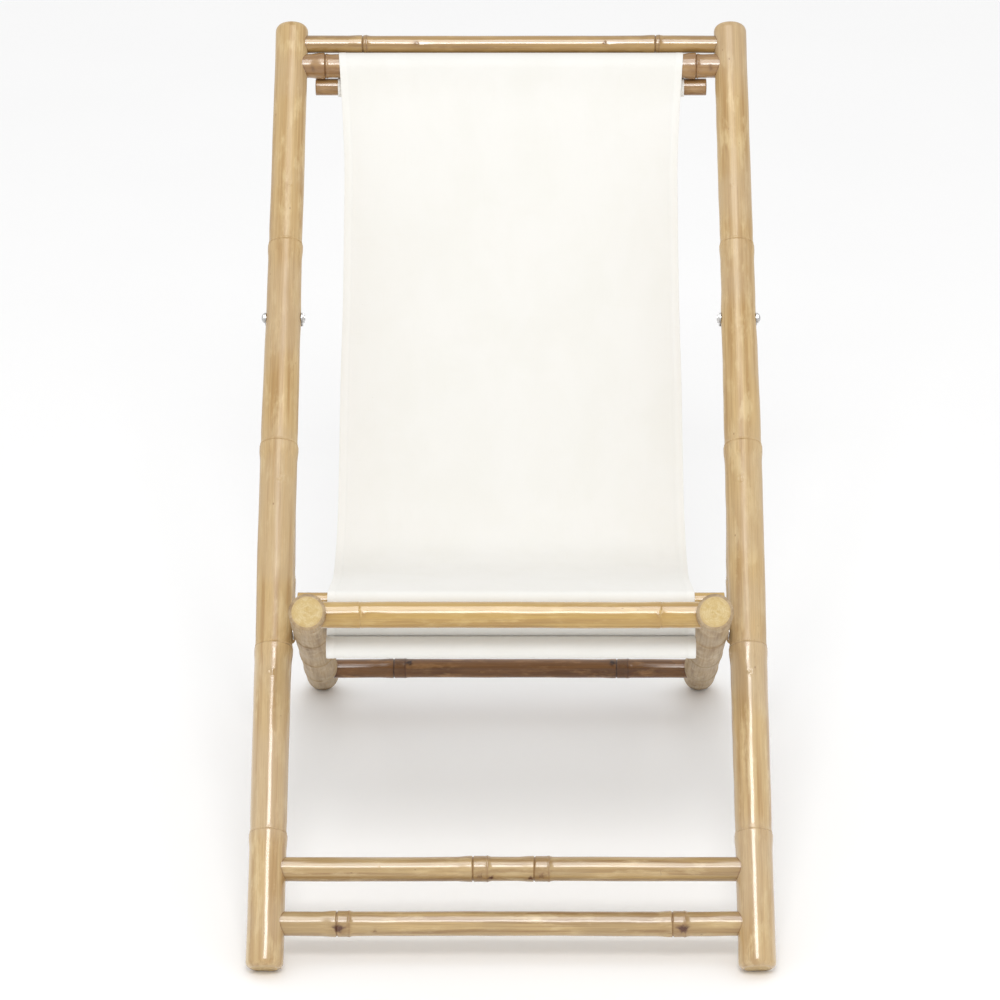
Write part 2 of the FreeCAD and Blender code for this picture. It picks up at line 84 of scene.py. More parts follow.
S_PIVOT = (33.6 * sg + 425.7 * cg) / (sb * cg + cb * sg)
T_PIVOT = (back_at(S_PIVOT)[0] - 33.6) / cg
PIVOT = back_at(S_PIVOT)
PROP_S = 780.1
PROP_PIVOT = back_at(PROP_S)
REST_R, NOTCH_STEP, NOTCH_DEPTH, NOTCH_GAP = 270.0, 40.0, 3.0, 0.3
PROP_BAR_R = 9.5
bar_h = seat_r(T_PIVOT + REST_R) - NOTCH_DEPTH + PROP_BAR_R + NOTCH_GAP
PROP_BAR = seat_at(T_PIVOT + REST_R, bar_h)
_dx, _dz = PROP_BAR[0] - PROP_PIVOT[0], PROP_BAR[1] - PROP_PIVOT[1]
PROP_LEN = math.sqrt(_dx * _dx + _dz * _dz - 39.0 ** 2)
_pa = math.atan2(_dz, _dx) - math.atan2(39.0, PROP_LEN)
PD = (math.cos(_pa), math.sin(_pa))
PN = (-PD[1], PD[0])


def prop_at(a, n=39.0):
    return (PROP_PIVOT[0] + PD[0] * a + PN[0] * n, PROP_PIVOT[1] + PD[1] * a + PN[1] * n)


def prop_x(a):
    return back_x(PROP_S) + 0.0150 * a


# ------------------------------------------------------------------- shaders
def lin(r, g, b):
    def f(c):
        c /= 255.0
        return c / 12.92 if c <= 0.04045 else ((c + 0.055) / 1.055) ** 2.4
    return (f(r), f(g), f(b), 1.0)


class Tree:
    """Short calls for building a material."""

    def __init__(self, name):
        self.mat = bpy.data.materials.new(name)
        self.mat.use_nodes = True
        self.nt = self.mat.node_tree
        self.bsdf = self.nt.nodes["Principled BSDF"]

    def node(self, kind, **props):
        n = self.nt.nodes.new(kind)
        for k, v in props.items():
            setattr(n, k, v)
        return n

    def put(self, socket, value):
        if isinstance(value, bpy.types.NodeSocket):
            self.nt.links.new(value, socket)
        elif value is not None:
            socket.default_value = value

    def attr(self, name):
        return self.node("ShaderNodeAttribute", attribute_name=name).outputs["Vector"]

    def split(self, v):
        n = self.node("ShaderNodeSeparateXYZ")
        self.put(n.inputs[0], v)
        return n.outputs[0], n.outputs[1], n.outputs[2]

    def scaled(self, v, s):
        n = self.node("ShaderNodeVectorMath", operation="MULTIPLY")
        self.put(n.inputs[0], v)
        self.put(n.inputs[1], s)
        return n.outputs[0]

    def noise(self, v, scale=1.0, detail=3.0, rough=0.5, distort=0.0):
        n = self.node("ShaderNodeTexNoise", noise_dimensions="3D")
        self.put(n.inputs["Vector"], v)
        n.inputs["Scale"].default_value = scale
        n.inputs["Detail"].default_value = detail
        n.inputs["Roughness"].default_value = rough
        n.inputs["Distortion"].default_value = distort
        return n.outputs["Fac"]

    def voronoi(self, v, scale=1.0, feature="F1", rnd=1.0):
        n = self.node("ShaderNodeTexVoronoi", feature=feature)
        self.put(n.inputs["Vector"], v)
        n.inputs["Scale"].default_value = scale
        n.inputs["Randomness"].default_value = rnd
        return n.outputs["Distance"]

    def ramp(self, v, a, b, c=0.0, d=1.0):
        n = self.node("ShaderNodeMapRange", interpolation_type="SMOOTHSTEP")
        self.put(n.inputs["Value"], v)
        for k, x in zip(("From Min", "From Max", "To Min", "To Max"), (a, b, c, d)):
            n.inputs[k].default_value = x
        return n.outputs[0]

    def math(self, op, a, b=0.0, clamp=False):
        n = self.node("ShaderNodeMath", operation=op, use_clamp=clamp)
        self.put(n.inputs[0], a)
        self.put(n.inputs[1], b)
        return n.outputs[0]

    def mix(self, f, a, b, blend="MIX"):
        n = self.node("ShaderNodeMix", data_type="RGBA", blend_type=blend)
        self.put(n.inputs["Factor"], f)
        self.put(n.inputs[6], a)
        self.put(n.inputs[7], b)
        return n.outputs[2]

    def bump(self, height, strength, distance, normal=None):
        n = self.node("ShaderNodeBump")
        n.inputs["Strength"].default_value = strength
        n.inputs["Distance"].default_value = distance
        self.put(n.inputs["Height"], height)
        if normal is not None:
            self.put(n.inputs["Normal"], normal)
        return n.outputs[0]

    def set(self, **kw):
        names = {"color": "Base Color", "rough": "Roughness", "metal": "Metallic", "normal": "Normal",
                 "coat": "Coat Weight", "coat_rough": "Coat Roughness", "sheen": "Sheen Weight",
                 "sheen_rough": "Sheen Roughness", "spec": "Specular IOR Level", "ior": "IOR",
                 "coat_normal": "Coat Normal", "aniso": "Anisotropic", "coat_ior": "Coat IOR"}
        for k, v in kw.items():
            self.put(self.bsdf.inputs[names[k]], v)
        return self.mat


def bamboo(name, base, dark, light, ring, scar, grey=None, fibre=1.0, mottle=1.0, rough=0.34,
           coat=0.9, coat_rough=0.15, relief=1.0, spec=0.3, coat_ior=1.52):
    """Lacquered cane: fibres along the axis, slow mottling, brown rings and bud scars from the masks."""
    t = Tree(name)
    rest = t.attr("rest")
    ringm, halo, scarm = t.split(t.attr("m1"))
    nick, joint_shade, edge = t.split(t.attr("m2"))
    # long fibres
    fine = t.noise(t.scaled(rest, (1400.0, 1400.0, 16.0)), 1.0, 4.0, 0.62)
    mid = t.noise(t.scaled(rest, (420.0, 420.0, 7.0)), 1.0, 3.0, 0.55)
    wide = t.noise(t.scaled(rest, (120.0, 120.0, 3.2)), 1.0, 3.0, 0.55)
    blot = t.noise(t.scaled(rest, (85.0, 85.0, 26.0)), 1.0, 5.0, 0.62)
    slow = t.noise(rest, 9.0, 2.0, 0.5)
    col = t.mix(t.ramp(wide, 0.40, 0.66), base, dark)
    col = t.mix(t.math("MULTIPLY", t.ramp(blot, 0.48, 0.70), 0.75 * mottle), col, light)
    col = t.mix(t.math("MULTIPLY", t.ramp(slow, 0.42, 0.62), 0.55 * mottle), col, grey or base)
    col = t.mix(t.math("MULTIPLY", t.ramp(mid, 0.50, 0.72), 0.34 * fibre), col, dark)
    shade = t.ramp(fine, 0.30, 0.72, 0.86, 1.07)
    col = t.mix(0.75 * fibre, col, shade, "MULTIPLY")
    # thin dark fibres and rare pores
    thin = t.ramp(t.noise(t.scaled(rest, (2300.0, 2300.0, 26.0)), 1.0, 2.0, 0.5), 0.655, 0.72)
    col = t.mix(t.math("MULTIPLY", thin, 0.30 * fibre), col, scar)
    pore = t.ramp(t.voronoi(t.scaled(rest, (1.0, 1.0, 0.55)), 95.0), 0.10, 0.045)
    pore = t.math("MULTIPLY", pore, t.ramp(blot, 0.50, 0.58))
    col = t.mix(t.math("MULTIPLY", pore, 0.55), col, scar)
    # around the nodes
    hn = t.math("MULTIPLY", halo, t.ramp(t.noise(t.scaled(rest, (260.0, 260.0, 120.0)), 1.0, 4.0, 0.65), 0.30, 0.62, 0.25, 1.0))
    col = t.mix(t.math("MULTIPLY", hn, 0.62), col, dark)
    rn = t.math("MULTIPLY", ringm, t.ramp(t.noise(rest, 160.0, 3.0, 0.6), 0.26, 0.55, 0.62, 1.0))
    col = t.mix(t.math("MINIMUM", rn, 1.0), col, ring)
    sn = t.math("MULTIPLY", scarm, t.ramp(t.noise(rest, 520.0, 3.0, 0.6), 0.30, 0.60, 0.55, 1.0))
    col = t.mix(t.math("MINIMUM", sn, 1.0), col, scar)
    col = t.mix(t.math("MULTIPLY", nick, 0.7), col, light)
    # painted shade: darker towards the ring colour where a rail meets a pole
    col = t.mix(t.math("MULTIPLY", joint_shade, 0.42), col, ring)
    col = t.mix(t.math("MULTIPLY", edge, 0.62, True), col, ring)
    # surface
    h = t.math("ADD", t.math("MULTIPLY", fine, 0.5), t.math("MULTIPLY", mid, 0.9))
    h = t.math("ADD", h, t.math("MULTIPLY", t.noise(rest, 90.0, 3.0, 0.5), 0.8))
    h = t.math("SUBTRACT", h, t.math("MULTIPLY", t.math("ADD", ringm, scarm), 0.6))
    nrm = t.bump(h, 0.30 * fibre * relief, 0.00016)
    lac = t.bump(t.noise(t.scaled(rest, (140.0, 140.0, 40.0)), 1.0, 2.0, 0.5), 0.07, 0.0003)
    r = t.ramp(mid, 0.35, 0.70, rough - 0.05, rough + 0.12)
    r = t.math("ADD", r, t.math("MULTIPLY", t.math("ADD", ringm, scarm), 0.25), True)
    return t.set(color=col, rough=r, normal=nrm, coat=coat, coat_rough=coat_rough, coat_normal=lac,
                 spec=spec, ior=1.42, coat_ior=coat_ior)


def end_grain(name, pale, yellow, brown, rings=1.0):
    """A cut end: faint rings about the axis, fibre dots, saw marks and a darker rim."""
    t = Tree(name)
    rest = t.attr("rest")
    x, y, z = t.split(rest)
    rad = t.math("SQRT", t.math("ADD", t.math("MULTIPLY", x, x), t.math("MULTIPLY", y, y)))
    wob = t.noise(rest, 120.0, 3.0, 0.5, 0.8)
    rr = t.math("ADD", rad, t.math("MULTIPLY", wob, 0.004))
    wave = t.math("SINE", t.math("MULTIPLY", rr, 2600.0))
    rip = t.ramp(wave, -0.6, 1.0)
    cloud = t.noise(rest, 150.0, 4.0, 0.6, 1.2)
    col = t.mix(t.ramp(cloud, 0.36, 0.66), yellow, pale)
    col = t.mix(t.math("MULTIPLY", t.math("MULTIPLY", rip, cloud), 0.5 * rings), col, brown)
    dots = t.ramp(t.voronoi(t.scaled(rest, (1.0, 1.0, 0.02)), 1150.0), 0.36, 0.14)
    col = t.mix(t.math("MULTIPLY", dots, 0.32), col, brown)
    _, _, edge = t.split(t.attr("m2"))
    _, _, pith = t.split(t.attr("m1"))
    col = t.mix(t.ramp(rad, 0.0125, 0.0205, 0.0, 0.42), col, brown)
    col = t.mix(t.math("MULTIPLY", edge, 1.1, True), col, brown)
    col = t.mix(t.math("MULTIPLY", pith, 1.0, True), col, brown)
    saw = t.noise(t.scaled(rest, (60.0, 1500.0, 60.0)), 1.0, 2.0, 0.5)
    h = t.math("ADD", t.math("MULTIPLY", saw, 0.6), t.math("MULTIPLY", dots, -0.5))
    return t.set(color=col, rough=t.ramp(cloud, 0.3, 0.7, 0.42, 0.60), normal=t.bump(h, 0.35, 0.0002),
                 coat=0.12, coat_rough=0.3, spec=0.3)


def steel(name, base, rough, streak=(1.0, 1.0, 1.0)):
    """Zinc-plated steel: fine turning and rolling marks, cloudy plating."""
    t = Tree(name)
    co = t.node("ShaderNodeTexCoord").outputs["Object"]
    marks = t.noise(t.scaled(co, streak), 1.0, 3.0, 0.6)
    cloud = t.noise(co, 220.0, 4.0, 0.6, 0.7)
    spangle = t.voronoi(co, 700.0)
    col = t.mix(t.ramp(cloud, 0.40, 0.68), base, (base[0] * 0.74, base[1] * 0.74, base[2] * 0.72, 1.0))
    col = t.mix(t.math("MULTIPLY", t.ramp(spangle, 0.2, 0.7), 0.16), col, (0.9, 0.9, 0.92, 1.0))
    col = t.mix(t.math("MULTIPLY", t.ramp(t.noise(co, 90.0, 3.0, 0.6), 0.62, 0.72), 0.35), col, (0.20, 0.14, 0.09, 1.0))
    r = t.math("ADD", t.ramp(marks, 0.3, 0.7, rough - 0.06, rough + 0.08), t.math("MULTIPLY", cloud, 0.12), True)
    h = t.math("ADD", marks, t.math("MULTIPLY", cloud, 0.5))
    return t.set(color=col, rough=r, metal=1.0, normal=t.bump(h, 0.28, 0.00012))


def pin_wood(name):
    t = Tree(name)
    co = t.node("ShaderNodeTexCoord").outputs["Object"]
    n1 = t.noise(co, 700.0, 4.0, 0.6)
    n2 = t.voronoi(co, 1900.0)
    col = t.mix(t.ramp(n1, 0.35, 0.65), lin(150, 112, 66), lin(188, 152, 98))
    col = t.mix(t.math("MULTIPLY", t.ramp(n2, 0.35, 0.10), 0.4), col, lin(92, 60, 30))
    return t.set(color=col, rough=t.ramp(n1, 0.3, 0.7, 0.40, 0.58), normal=t.bump(n1, 0.3, 0.0002))


def canvas_cloth(name):
    """Fine plain weave in off-white cotton: threads, slubs, faint creases; u and v come with the mesh."""
    t = Tree(name)
    uv = t.attr("cloth_uv")
    u, v, hem = t.split(uv)
    pitch = 0.00062
    # threads wander a little, so the weave isn't a ruled grid
    wob = t.noise(t.scaled(uv, (60.0, 60.0, 0.0)), 1.0, 2.0, 0.5)
    uu = t.math("ADD", u, t.math("MULTIPLY", wob, 0.0012))
    vv = t.math("ADD", v, t.math("MULTIPLY", wob, 0.0009))
    su = t.math("SINE", t.math("MULTIPLY", uu, 2 * math.pi / pitch))
    sv = t.math("SINE", t.math("MULTIPLY", vv, 2 * math.pi / (pitch * 1.12)))
    over = t.math("MULTIPLY", t.math("SINE", t.math("MULTIPLY", uu, math.pi / pitch)),
                  t.math("SINE", t.math("MULTIPLY", vv, math.pi / (pitch * 1.12))))
    weave = t.math("ADD", t.math("MULTIPLY", t.math("ADD", su, sv), 0.22), t.math("MULTIPLY", over, 0.45))
    weft = t.noise(t.scaled(uv, (26.0, 1500.0, 0.0)), 1.0, 3.0, 0.6)
    warp = t.noise(t.scaled(uv, (1500.0, 20.0, 0.0)), 1.0, 3.0, 0.6)
    slub = t.math("MAXIMUM", t.ramp(weft, 0.63, 0.74), t.ramp(warp, 0.62, 0.74))
    cloud = t.noise(t.scaled(uv, (14.0, 9.0, 0.0)), 1.0, 4.0, 0.6, 0.4)
    col = t.mix(t.ramp(cloud, 0.35, 0.68), lin(232, 231, 227), lin(230, 229, 224))
    col = t.mix(t.math("MULTIPLY", slub, 0.30), col, lin(222, 218, 206))
    # painted shade in the hollows between the threads, where the weave height is low
    col = t.mix(t.math("MULTIPLY", t.ramp(weave, -0.8, 0.4, 1.0, 0.0), 0.16), col, lin(206, 201, 188))
    speck = t.ramp(t.voronoi(t.scaled(uv, (1.0, 1.0, 0.0)), 55.0), 0.030, 0.012)
    col = t.mix(t.math("MULTIPLY", speck, 0.30), col, lin(190, 172, 138))
    col = t.mix(t.math("MULTIPLY", hem, 0.10), col, lin(255, 254, 250))
    h = t.math("ADD", t.math("MULTIPLY", weave, 0.6), t.math("MULTIPLY", slub, 0.5))
    n1 = t.bump(h, 0.32, 0.00018)
    n2 = t.bump(t.noise(t.scaled(uv, (22.0, 14.0, 0.0)), 1.0, 3.0, 0.55), 0.22, 0.0012, n1)
    return t.set(color=col, rough=t.ramp(weave, -0.8, 0.9, 0.96, 0.82), normal=n2, sheen=0.25, sheen_rough=0.45, spec=0.25)


def thread_mat(name):
    t = Tree(name)
    co = t.node("ShaderNodeTexCoord").outputs["Object"]
    ply = t.noise(t.scaled(co, (1800.0, 5000.0, 5000.0)), 1.0, 2.0, 0.5)
    col = t.mix(t.ramp(ply, 0.35, 0.65), lin(240, 236, 224), lin(218, 212, 196))
    return t.set(color=col, rough=t.ramp(ply, 0.3, 0.7, 0.75, 0.9), normal=t.bump(ply, 0.3, 0.0001), sheen=0.2)


SCAR = lin(112, 70, 38)
M_POLE = bamboo("bamboo_pole", lin(197, 168, 120), lin(172, 138, 90), lin(212, 188, 142), lin(120, 80, 42), lin(118, 76, 46),
                lin(192, 168, 134))
# above the second node the lacquer is rubbed thin
M_POLE_UP = bamboo("bamboo_pole_worn", lin(197, 168, 120), lin(172, 138, 90), lin(212, 188, 142), lin(120, 80, 42),
                   lin(118, 76, 46), lin(192, 168, 134), coat=0.14, coat_rough=0.2)
M_SEAT = bamboo("bamboo_seat_pole", lin(176, 153, 120), lin(146, 122, 92), lin(196, 177, 148), lin(72, 40, 18), lin(98, 62, 36),
                lin(174, 156, 130), rough=0.62, coat=0.12, coat_rough=0.2, relief=0.5, spec=0.08)
M_GOLD = bamboo("bamboo_golden", lin(186, 152, 86), lin(164, 128, 68), lin(204, 174, 112), lin(140, 98, 50), lin(126, 82, 44),
                lin(182, 148, 84), mottle=0.8, coat=1.0, coat_rough=0.16, coat_ior=1.56, spec=0.12)
M_TOP = bamboo("bamboo_top_rail", lin(170, 135, 78), lin(142, 108, 60), lin(196, 164, 106), lin(92, 56, 30), lin(104, 66, 36),
               lin(164, 130, 78), mottle=0.8, coat=1.0, coat_rough=0.18, coat_ior=1.65, spec=0.12)
M_FOOT = bamboo("bamboo_foot_rail", lin(187, 158, 109), lin(146, 114, 72), lin(204, 179, 134), lin(112, 70, 38), lin(84, 48, 28),
                lin(168, 142, 100), coat=1.0, coat_rough=0.18, coat_ior=1.56, spec=0.15)
M_TAN = bamboo("bamboo_tan", lin(168, 132, 86), lin(130, 93, 55), lin(196, 162, 116), lin(96, 58, 30), lin(74, 44, 22),
               lin(158, 122, 78), coat=1.0, coat_rough=0.17, coat_ior=1.55, spec=0.15)
M_BROWN = bamboo("bamboo_dark", lin(134, 90, 42), lin(92, 57, 25), lin(172, 128, 76), lin(58, 32, 14), lin(52, 28, 12),
                 lin(124, 84, 44), coat=1.0, coat_rough=0.16, coat_ior=1.5, spec=0.12)
M_END = end_grain("bamboo_end", lin(202, 181, 132), lin(190, 164, 106), lin(150, 112, 64), rings=0.4)
M_ENDB = end_grain("bamboo_end_brown", lin(190, 156, 108), lin(170, 134, 84), lin(106, 70, 38), rings=0.5)
M_FOOTEND = end_grain("bamboo_foot_end", lin(206, 184, 142), lin(190, 162, 116), lin(104, 68, 36), rings=0.3)
M_STEEL = steel("steel_bolts", (0.60, 0.60, 0.60, 1.0), 0.30, (900.0, 900.0, 900.0))
M_STRAP = steel("steel_straps", (0.56, 0.56, 0.57, 1.0), 0.34, (60.0, 900.0, 120.0))
M_PIN = pin_wood("bamboo_pins")
M_CLOTH = canvas_cloth("canvas_weave")
M_THREAD = thread_mat("cotton_thread")


# -------------------------------------------------------------- mesh helpers
def mesh_object(name, verts_m, faces, mats, mat_index=None, matrix=None):
    me = bpy.data.meshes.new(name)
    me.from_pydata([tuple(v) for v in verts_m], [], faces)
    me.validate()
    for m in mats:
        me.materials.append(m)
    if mat_index is not None:
        me.polygons.foreach_set("material_index", np.asarray(mat_index, np.int32))
    me.polygons.foreach_set("use_smooth", np.ones(len(me.polygons), bool))
    me.update()
    ob = bpy.data.objects.new(name, me)
    bpy.context.scene.collection.objects.link(ob)
    if matrix is not None:
        ob.matrix_world = matrix
    return ob


def put_attr(me, name, data):
    a = me.attributes.get(name) or me.attributes.new(name, "FLOAT_VECTOR", "POINT")
    a.data.foreach_set("vector", np.ascontiguousarray(data, np.float32).ravel())


def smooth(a, b, x):
    k = np.clip((x - a) / (b - a), 0.0, 1.0)
    return k * k * (3 - 2 * k)


def local_frame(p0, p1, xref):
    z = (p1 - p0).normalized()
    x = (xref - z * xref.dot(z)).normalized()
    y = z.cross(x)
    m = Matrix((x, y, z)).transposed().to_4x4()
    m.translation = p0 * MM
    return m, (p1 - p0).length


def cutters(cyls, inverse):
    """One mesh of separate cylinders (mm, shared frame), in the local frame of the piece that they cut."""
    verts, faces = [], []
    for a, b, r, n in cyls:
        d = (b - a).normalized()
        ref = Vector((0, 0, 1)) if abs(d.z) < 0.9 else Vector((0, 1, 0))
        u = d.cross(ref).normalized()
        w = d.cross(u)
        i0 = len(verts)
        for q in (a, b):
            for k in range(n):
                t = 2 * math.pi * k / n
                verts.append(inverse @ ((q + (u * math.cos(t) + w * math.sin(t)) * r) * MM))
        faces.append(tuple(i0 + k for k in range(n)))
        faces.append(tuple(i0 + n + k for k in reversed(range(n))))
        for k in range(n):
            k2 = (k + 1) % n
            faces.append((i0 + k, i0 + n + k, i0 + n + k2, i0 + k2))
    return verts, faces


def cane(name, p0, p1, r0, r1, body, node, slot, mats, xref=Vector((1, 0, 0)), nodes=(), buds=(), nicks=(),
         e0=6.0, e1=6.0, seed=1, seg=80, bend=0.5, uneven=0.14, growth=1, still=(), cuts=(), poles=(),
         flat=False, capped=(True, True), pith=(None, None), shrink=0.12, rad=None, ringw=0.85,
         upper=None):
    """A detailed cane. nodes: (s, ridge, gap, dark, phi of its lowest dip, dip); buds: (s, phi, length, width, dark)."""
    rng = np.random.RandomState(seed)
    matrix, length = local_frame(p0, p1, xref)
    if rad is None:
        def rad(q):
            return r0 + (r1 - r0) * q / length
    s, st = e0, []
    marks = [n[0] for n in nodes]

    def step(q):
        d = min([abs(q - m) for m in marks] or [1e9])
        for n in nodes:
            if n[2]:
                d = min(d, abs(q - n[0] - n[2] * growth))
        v = 0.42 if d < 2.2 else 0.8 if d < 5 else 1.8 if d < 14 else 3.0 if d < 26 else 5.5
        for b in buds:
            if abs(q - b[0]) < b[2] * 1.3:
                v = min(v, 0.75)
        for b in nicks:
            if abs(q - b[0]) < 3.5:
                v = min(v, 0.6)
        if poles:
            inset = min(q, length - q)
            if inset < 34:
                v = min(v, 0.6)
        return v

    while s < length - e1 - 0.3:
        st.append(s)
        s += step(s)
    st.append(length - e1)
    rings = []                                  # (s, inset, kind)
    if capped[0]:
        for f in (0.10, 0.20, 0.30, 0.40, 0.46, 0.52, 0.58, 0.64, 0.70, 0.78, 0.88, 0.95):
            rings.append((0.0, f, 2))
    for k in range(9):
        a = math.pi / 2 * (1 - k / 9)
        rings.append((e0 * (1 - math.sin(a)), e0 * (1 - math.cos(a)), 1))
    for q in st:
        rings.append((q, 0.0, 0))
    for k in range(1, 10):
        a = math.pi / 2 * k / 9
        rings.append((length - e1 * (1 - math.sin(a)), e1 * (1 - math.cos(a)), 1))
    if capped[1]:
        for f in (0.95, 0.88, 0.78, 0.70, 0.64, 0.58, 0.52, 0.46, 0.40, 0.30, 0.20, 0.10):
            rings.append((length, f, 3))
    phi = np.arange(seg) * 2 * math.pi / seg
    S = np.array([r[0] for r in rings])[:, None] + 0 * phi[None, :]
    PH = 0 * S + phi[None, :]
    ins = np.array([r[1] for r in rings])[:, None]
    kind = np.array([r[2] for r in rings])[:, None] + 0 * PH.astype(int)
    R = rad(S) - shrink
    # slow unevenness, the same every run
    calm = np.ones_like(S)
    for q, w in still:
        calm *= smooth(0.4 * w, 1.6 * w, np.abs(S - q))
    for k in range(7):
        lam = rng.uniform(45, 240)
        m = rng.randint(0, 4)
        R += uneven * rng.uniform(0.3, 1.0) * np.sin(2 * math.pi * S / lam + m * PH + rng.uniform(0, 6.28)) * calm * 0.45
    R += 0.25 * np.cos(2 * (PH - rng.uniform(0, 3.14))) * calm * 0.5      # not quite round
    ring = np.zeros_like(S); halo = np.zeros_like(S); scar = np.zeros_like(S)
    nick = np.zeros_like(S); edge = np.zeros_like(S)
    dz = np.zeros_like(S)
    for (q, ridge, gap, dark, dphi, dip) in nodes:
        ds = (S - q) * growth
        R += ridge * (smooth(-20, -3.0, ds) * (1 - smooth(-1.3, -0.1, ds)))
        R -= 0.32 * np.exp(-(ds / 0.6) ** 2)
        if gap:
            R += ridge * 0.9 * smooth(0.2, 1.4, ds) * (1 - smooth(gap - 1.0, gap + 6, ds))
            R += ridge * 0.5 * np.exp(-((ds - gap) / 1.4) ** 2)
            ring += 0.7 * dark * np.exp(-((ds - gap - 0.3 * np.sin(3 * PH + q)) / (0.8 * ringw)) ** 2)
            halo += smooth(-2, 1.0, ds) * (1 - smooth(gap - 1, gap + 4, ds))
        else:
            R += ridge * 0.4 * np.exp(-((ds - 1.5) / 1.2) ** 2)
            R -= 0.30 * np.exp(-((ds - 8) / 7.0) ** 2)
            halo += 0.55 * smooth(-16, -1.0, ds) * (1 - smooth(-0.6, 1.4, ds)) + 0.35 * np.exp(-((ds - 3) / 3.0) ** 2)
        ring += dark * np.exp(-((ds - 0.25 * np.sin(2 * PH + q)) / ringw) ** 2)
        dz += dip * np.cos(PH - dphi) * np.exp(-((S - q) / 12.0) ** 2) * -growth
    for (q, bphi, blen, bwid, dark) in buds:
        dphi = (PH - bphi + math.pi) % (2 * math.pi) - math.pi
        a = (S - q) / (blen / 2)
        b = dphi * float(rad(q)) / (bwid / 2)
        th = np.arctan2(b, a)
        e = np.sqrt(a * a + b * b) * (1 + 0.16 * np.sin(3 * th + q) + 0.13 * np.sin(5 * th + 2.0 * q) + 0.07 * np.sin(9 * th + q))
        slit = 0.35 if dark > 0.8 else 1.0
        R += 0.75 * np.exp(-(np.maximum(e - 0.25, 0) / 0.75) ** 2) * (e < 3)
        R -= 0.75 * slit * np.exp(-(b / 0.34) ** 2) * np.exp(-((a - 0.1) / 0.75) ** 2)
        R -= (1 - slit) * 0.9 * np.exp(-(e / 0.6) ** 2)
        R -= 0.30 * np.exp(-((e - 1.05) / 0.22) ** 2)
        R -= 0.22 * np.exp(-(b / 0.8) ** 2) * smooth(0.8, 2.0, a) * (1 - smooth(3, 9, a))
        scar += dark * ((0.85 * slit) * np.exp(-((e - 0.95) / 0.22) ** 2) + (1.5 - 0.85 * slit) * np.exp(-(e / 0.85) ** 4)
                        + 0.8 * slit * np.exp(-(b / 0.22) ** 2) * (np.abs(a) < 0.8))
        halo += 0.7 * np.exp(-(e / 2.0) ** 2)
    for (q, bphi, wid, tall, amount) in nicks:
        dphi = (PH - bphi + math.pi) % (2 * math.pi) - math.pi
        b = dphi * r0 / (wid / 2)
        a = (S - q - 0.4 * np.sin(3 * b)) / (tall / 2)
        m = np.exp(-a * a) * np.exp(-(b ** 4))
        R -= 0.16 * m
        if amount > 0:
            nick += amount * m
        else:
            scar += -amount * m
    # node ridges stay inside the constructed radius where another frame passes close by
    limit = rad(S) + 0.75
    R = np.minimum(R, np.maximum(limit, 0)) if still else R
    side = kind < 2
    rr = np.where(side, R - ins, 0.0)
    for cap, e in ((2, e0), (3, e1)):
        rr = np.where(kind == cap, ins * (R - e), rr)
    edge += np.where(kind == 1, 0.35, 0.0)
    if e0 > 2:
        edge += 0.8 * np.exp(-((S - e0 - 0.2) / 0.7) ** 2) * (kind < 2)
    if e1 > 2:
        edge += 0.8 * np.exp(-((S - (length - e1) + 0.2) / 0.7) ** 2) * (kind < 2)
    Z = S + dz * (kind == 0)
    # a cut face is a little dished and uneven
    for cap, sign in ((2, 1), (3, -1)):
        bump = 0.16 * np.sin(5 * PH + 1.1 * seed) * np.sin(ins * 7) + 0.22 * (1 - ins) ** 2
        Z = Z + np.where(kind == cap, sign * bump, 0.0)
    bx = bend * np.sin(math.pi * S / length) * math.cos(seed * 1.7) + 0.5 * bend * np.sin(2 * math.pi * S / length + seed)
    by = bend * np.sin(math.pi * S / length) * math.sin(seed * 2.3) + 0.4 * bend * np.sin(3 * math.pi * S / length)
    hold = np.ones_like(S)
    for q, w in still:
        hold *= smooth(0.2 * w, 2.2 * w, np.abs(S - q))
    hold *= smooth(0, 60, S) * smooth(0, 60, length - S)
    X = rr * np.cos(PH) + bx * hold
    Y = rr * np.sin(PH) + by * hold
    verts = np.stack([X, Y, Z], -1).reshape(-1, 3) * MM
    nr = len(rings)
    faces, midx = [], []
    for i in range(nr - 1):
        cut = rings[i][2] >= 2 or rings[i + 1][2] >= 2
        for j in range(seg):
            k = (j + 1) % seg
            faces.append((i * seg + j, i * seg + k, (i + 1) * seg + k, (i + 1) * seg + j))
            midx.append(1 if cut else 2 if upper and rings[i][0] >= upper else 0)
    vl = verts.tolist()
    extra = []
    for first, zc in ((True, 0.2), (False, length - 0.2)):
        c = len(vl)
        vl.append((0.0, 0.0, zc * MM))
        extra.append(zc)
        base = 0 if first else (nr - 1) * seg
        for j in range(seg):
            k = (j + 1) % seg
            faces.append((c, base + k, base + j) if first else (c, base + j, base + k))
            midx.append(1)
    ob = mesh_object(name, vl, faces, mats, midx, matrix)
    pm = np.zeros_like(S)                      # pith mark on the cut faces
    for cap, pw in ((2, pith[0]), (3, pith[1])):
        if pw:
            pr = rr / pw
            pm += np.where(kind == cap, np.exp(-((pr - 1.0) / 0.16) ** 2) * (1.25 + 0.4 * np.cos(PH - 0.6)), 0.0)
    m1 = np.stack([ring, halo, scar + pm], -1).reshape(-1, 3)
    m2 = np.stack([nick, np.zeros_like(S), edge], -1).reshape(-1, 3)
    m1 = np.vstack([m1, np.zeros((2, 3))])
    m2 = np.vstack([m2, np.zeros((2, 3))])
    if poles:
        w = np.array([tuple(matrix @ Vector(v)) for v in vl]) / MM
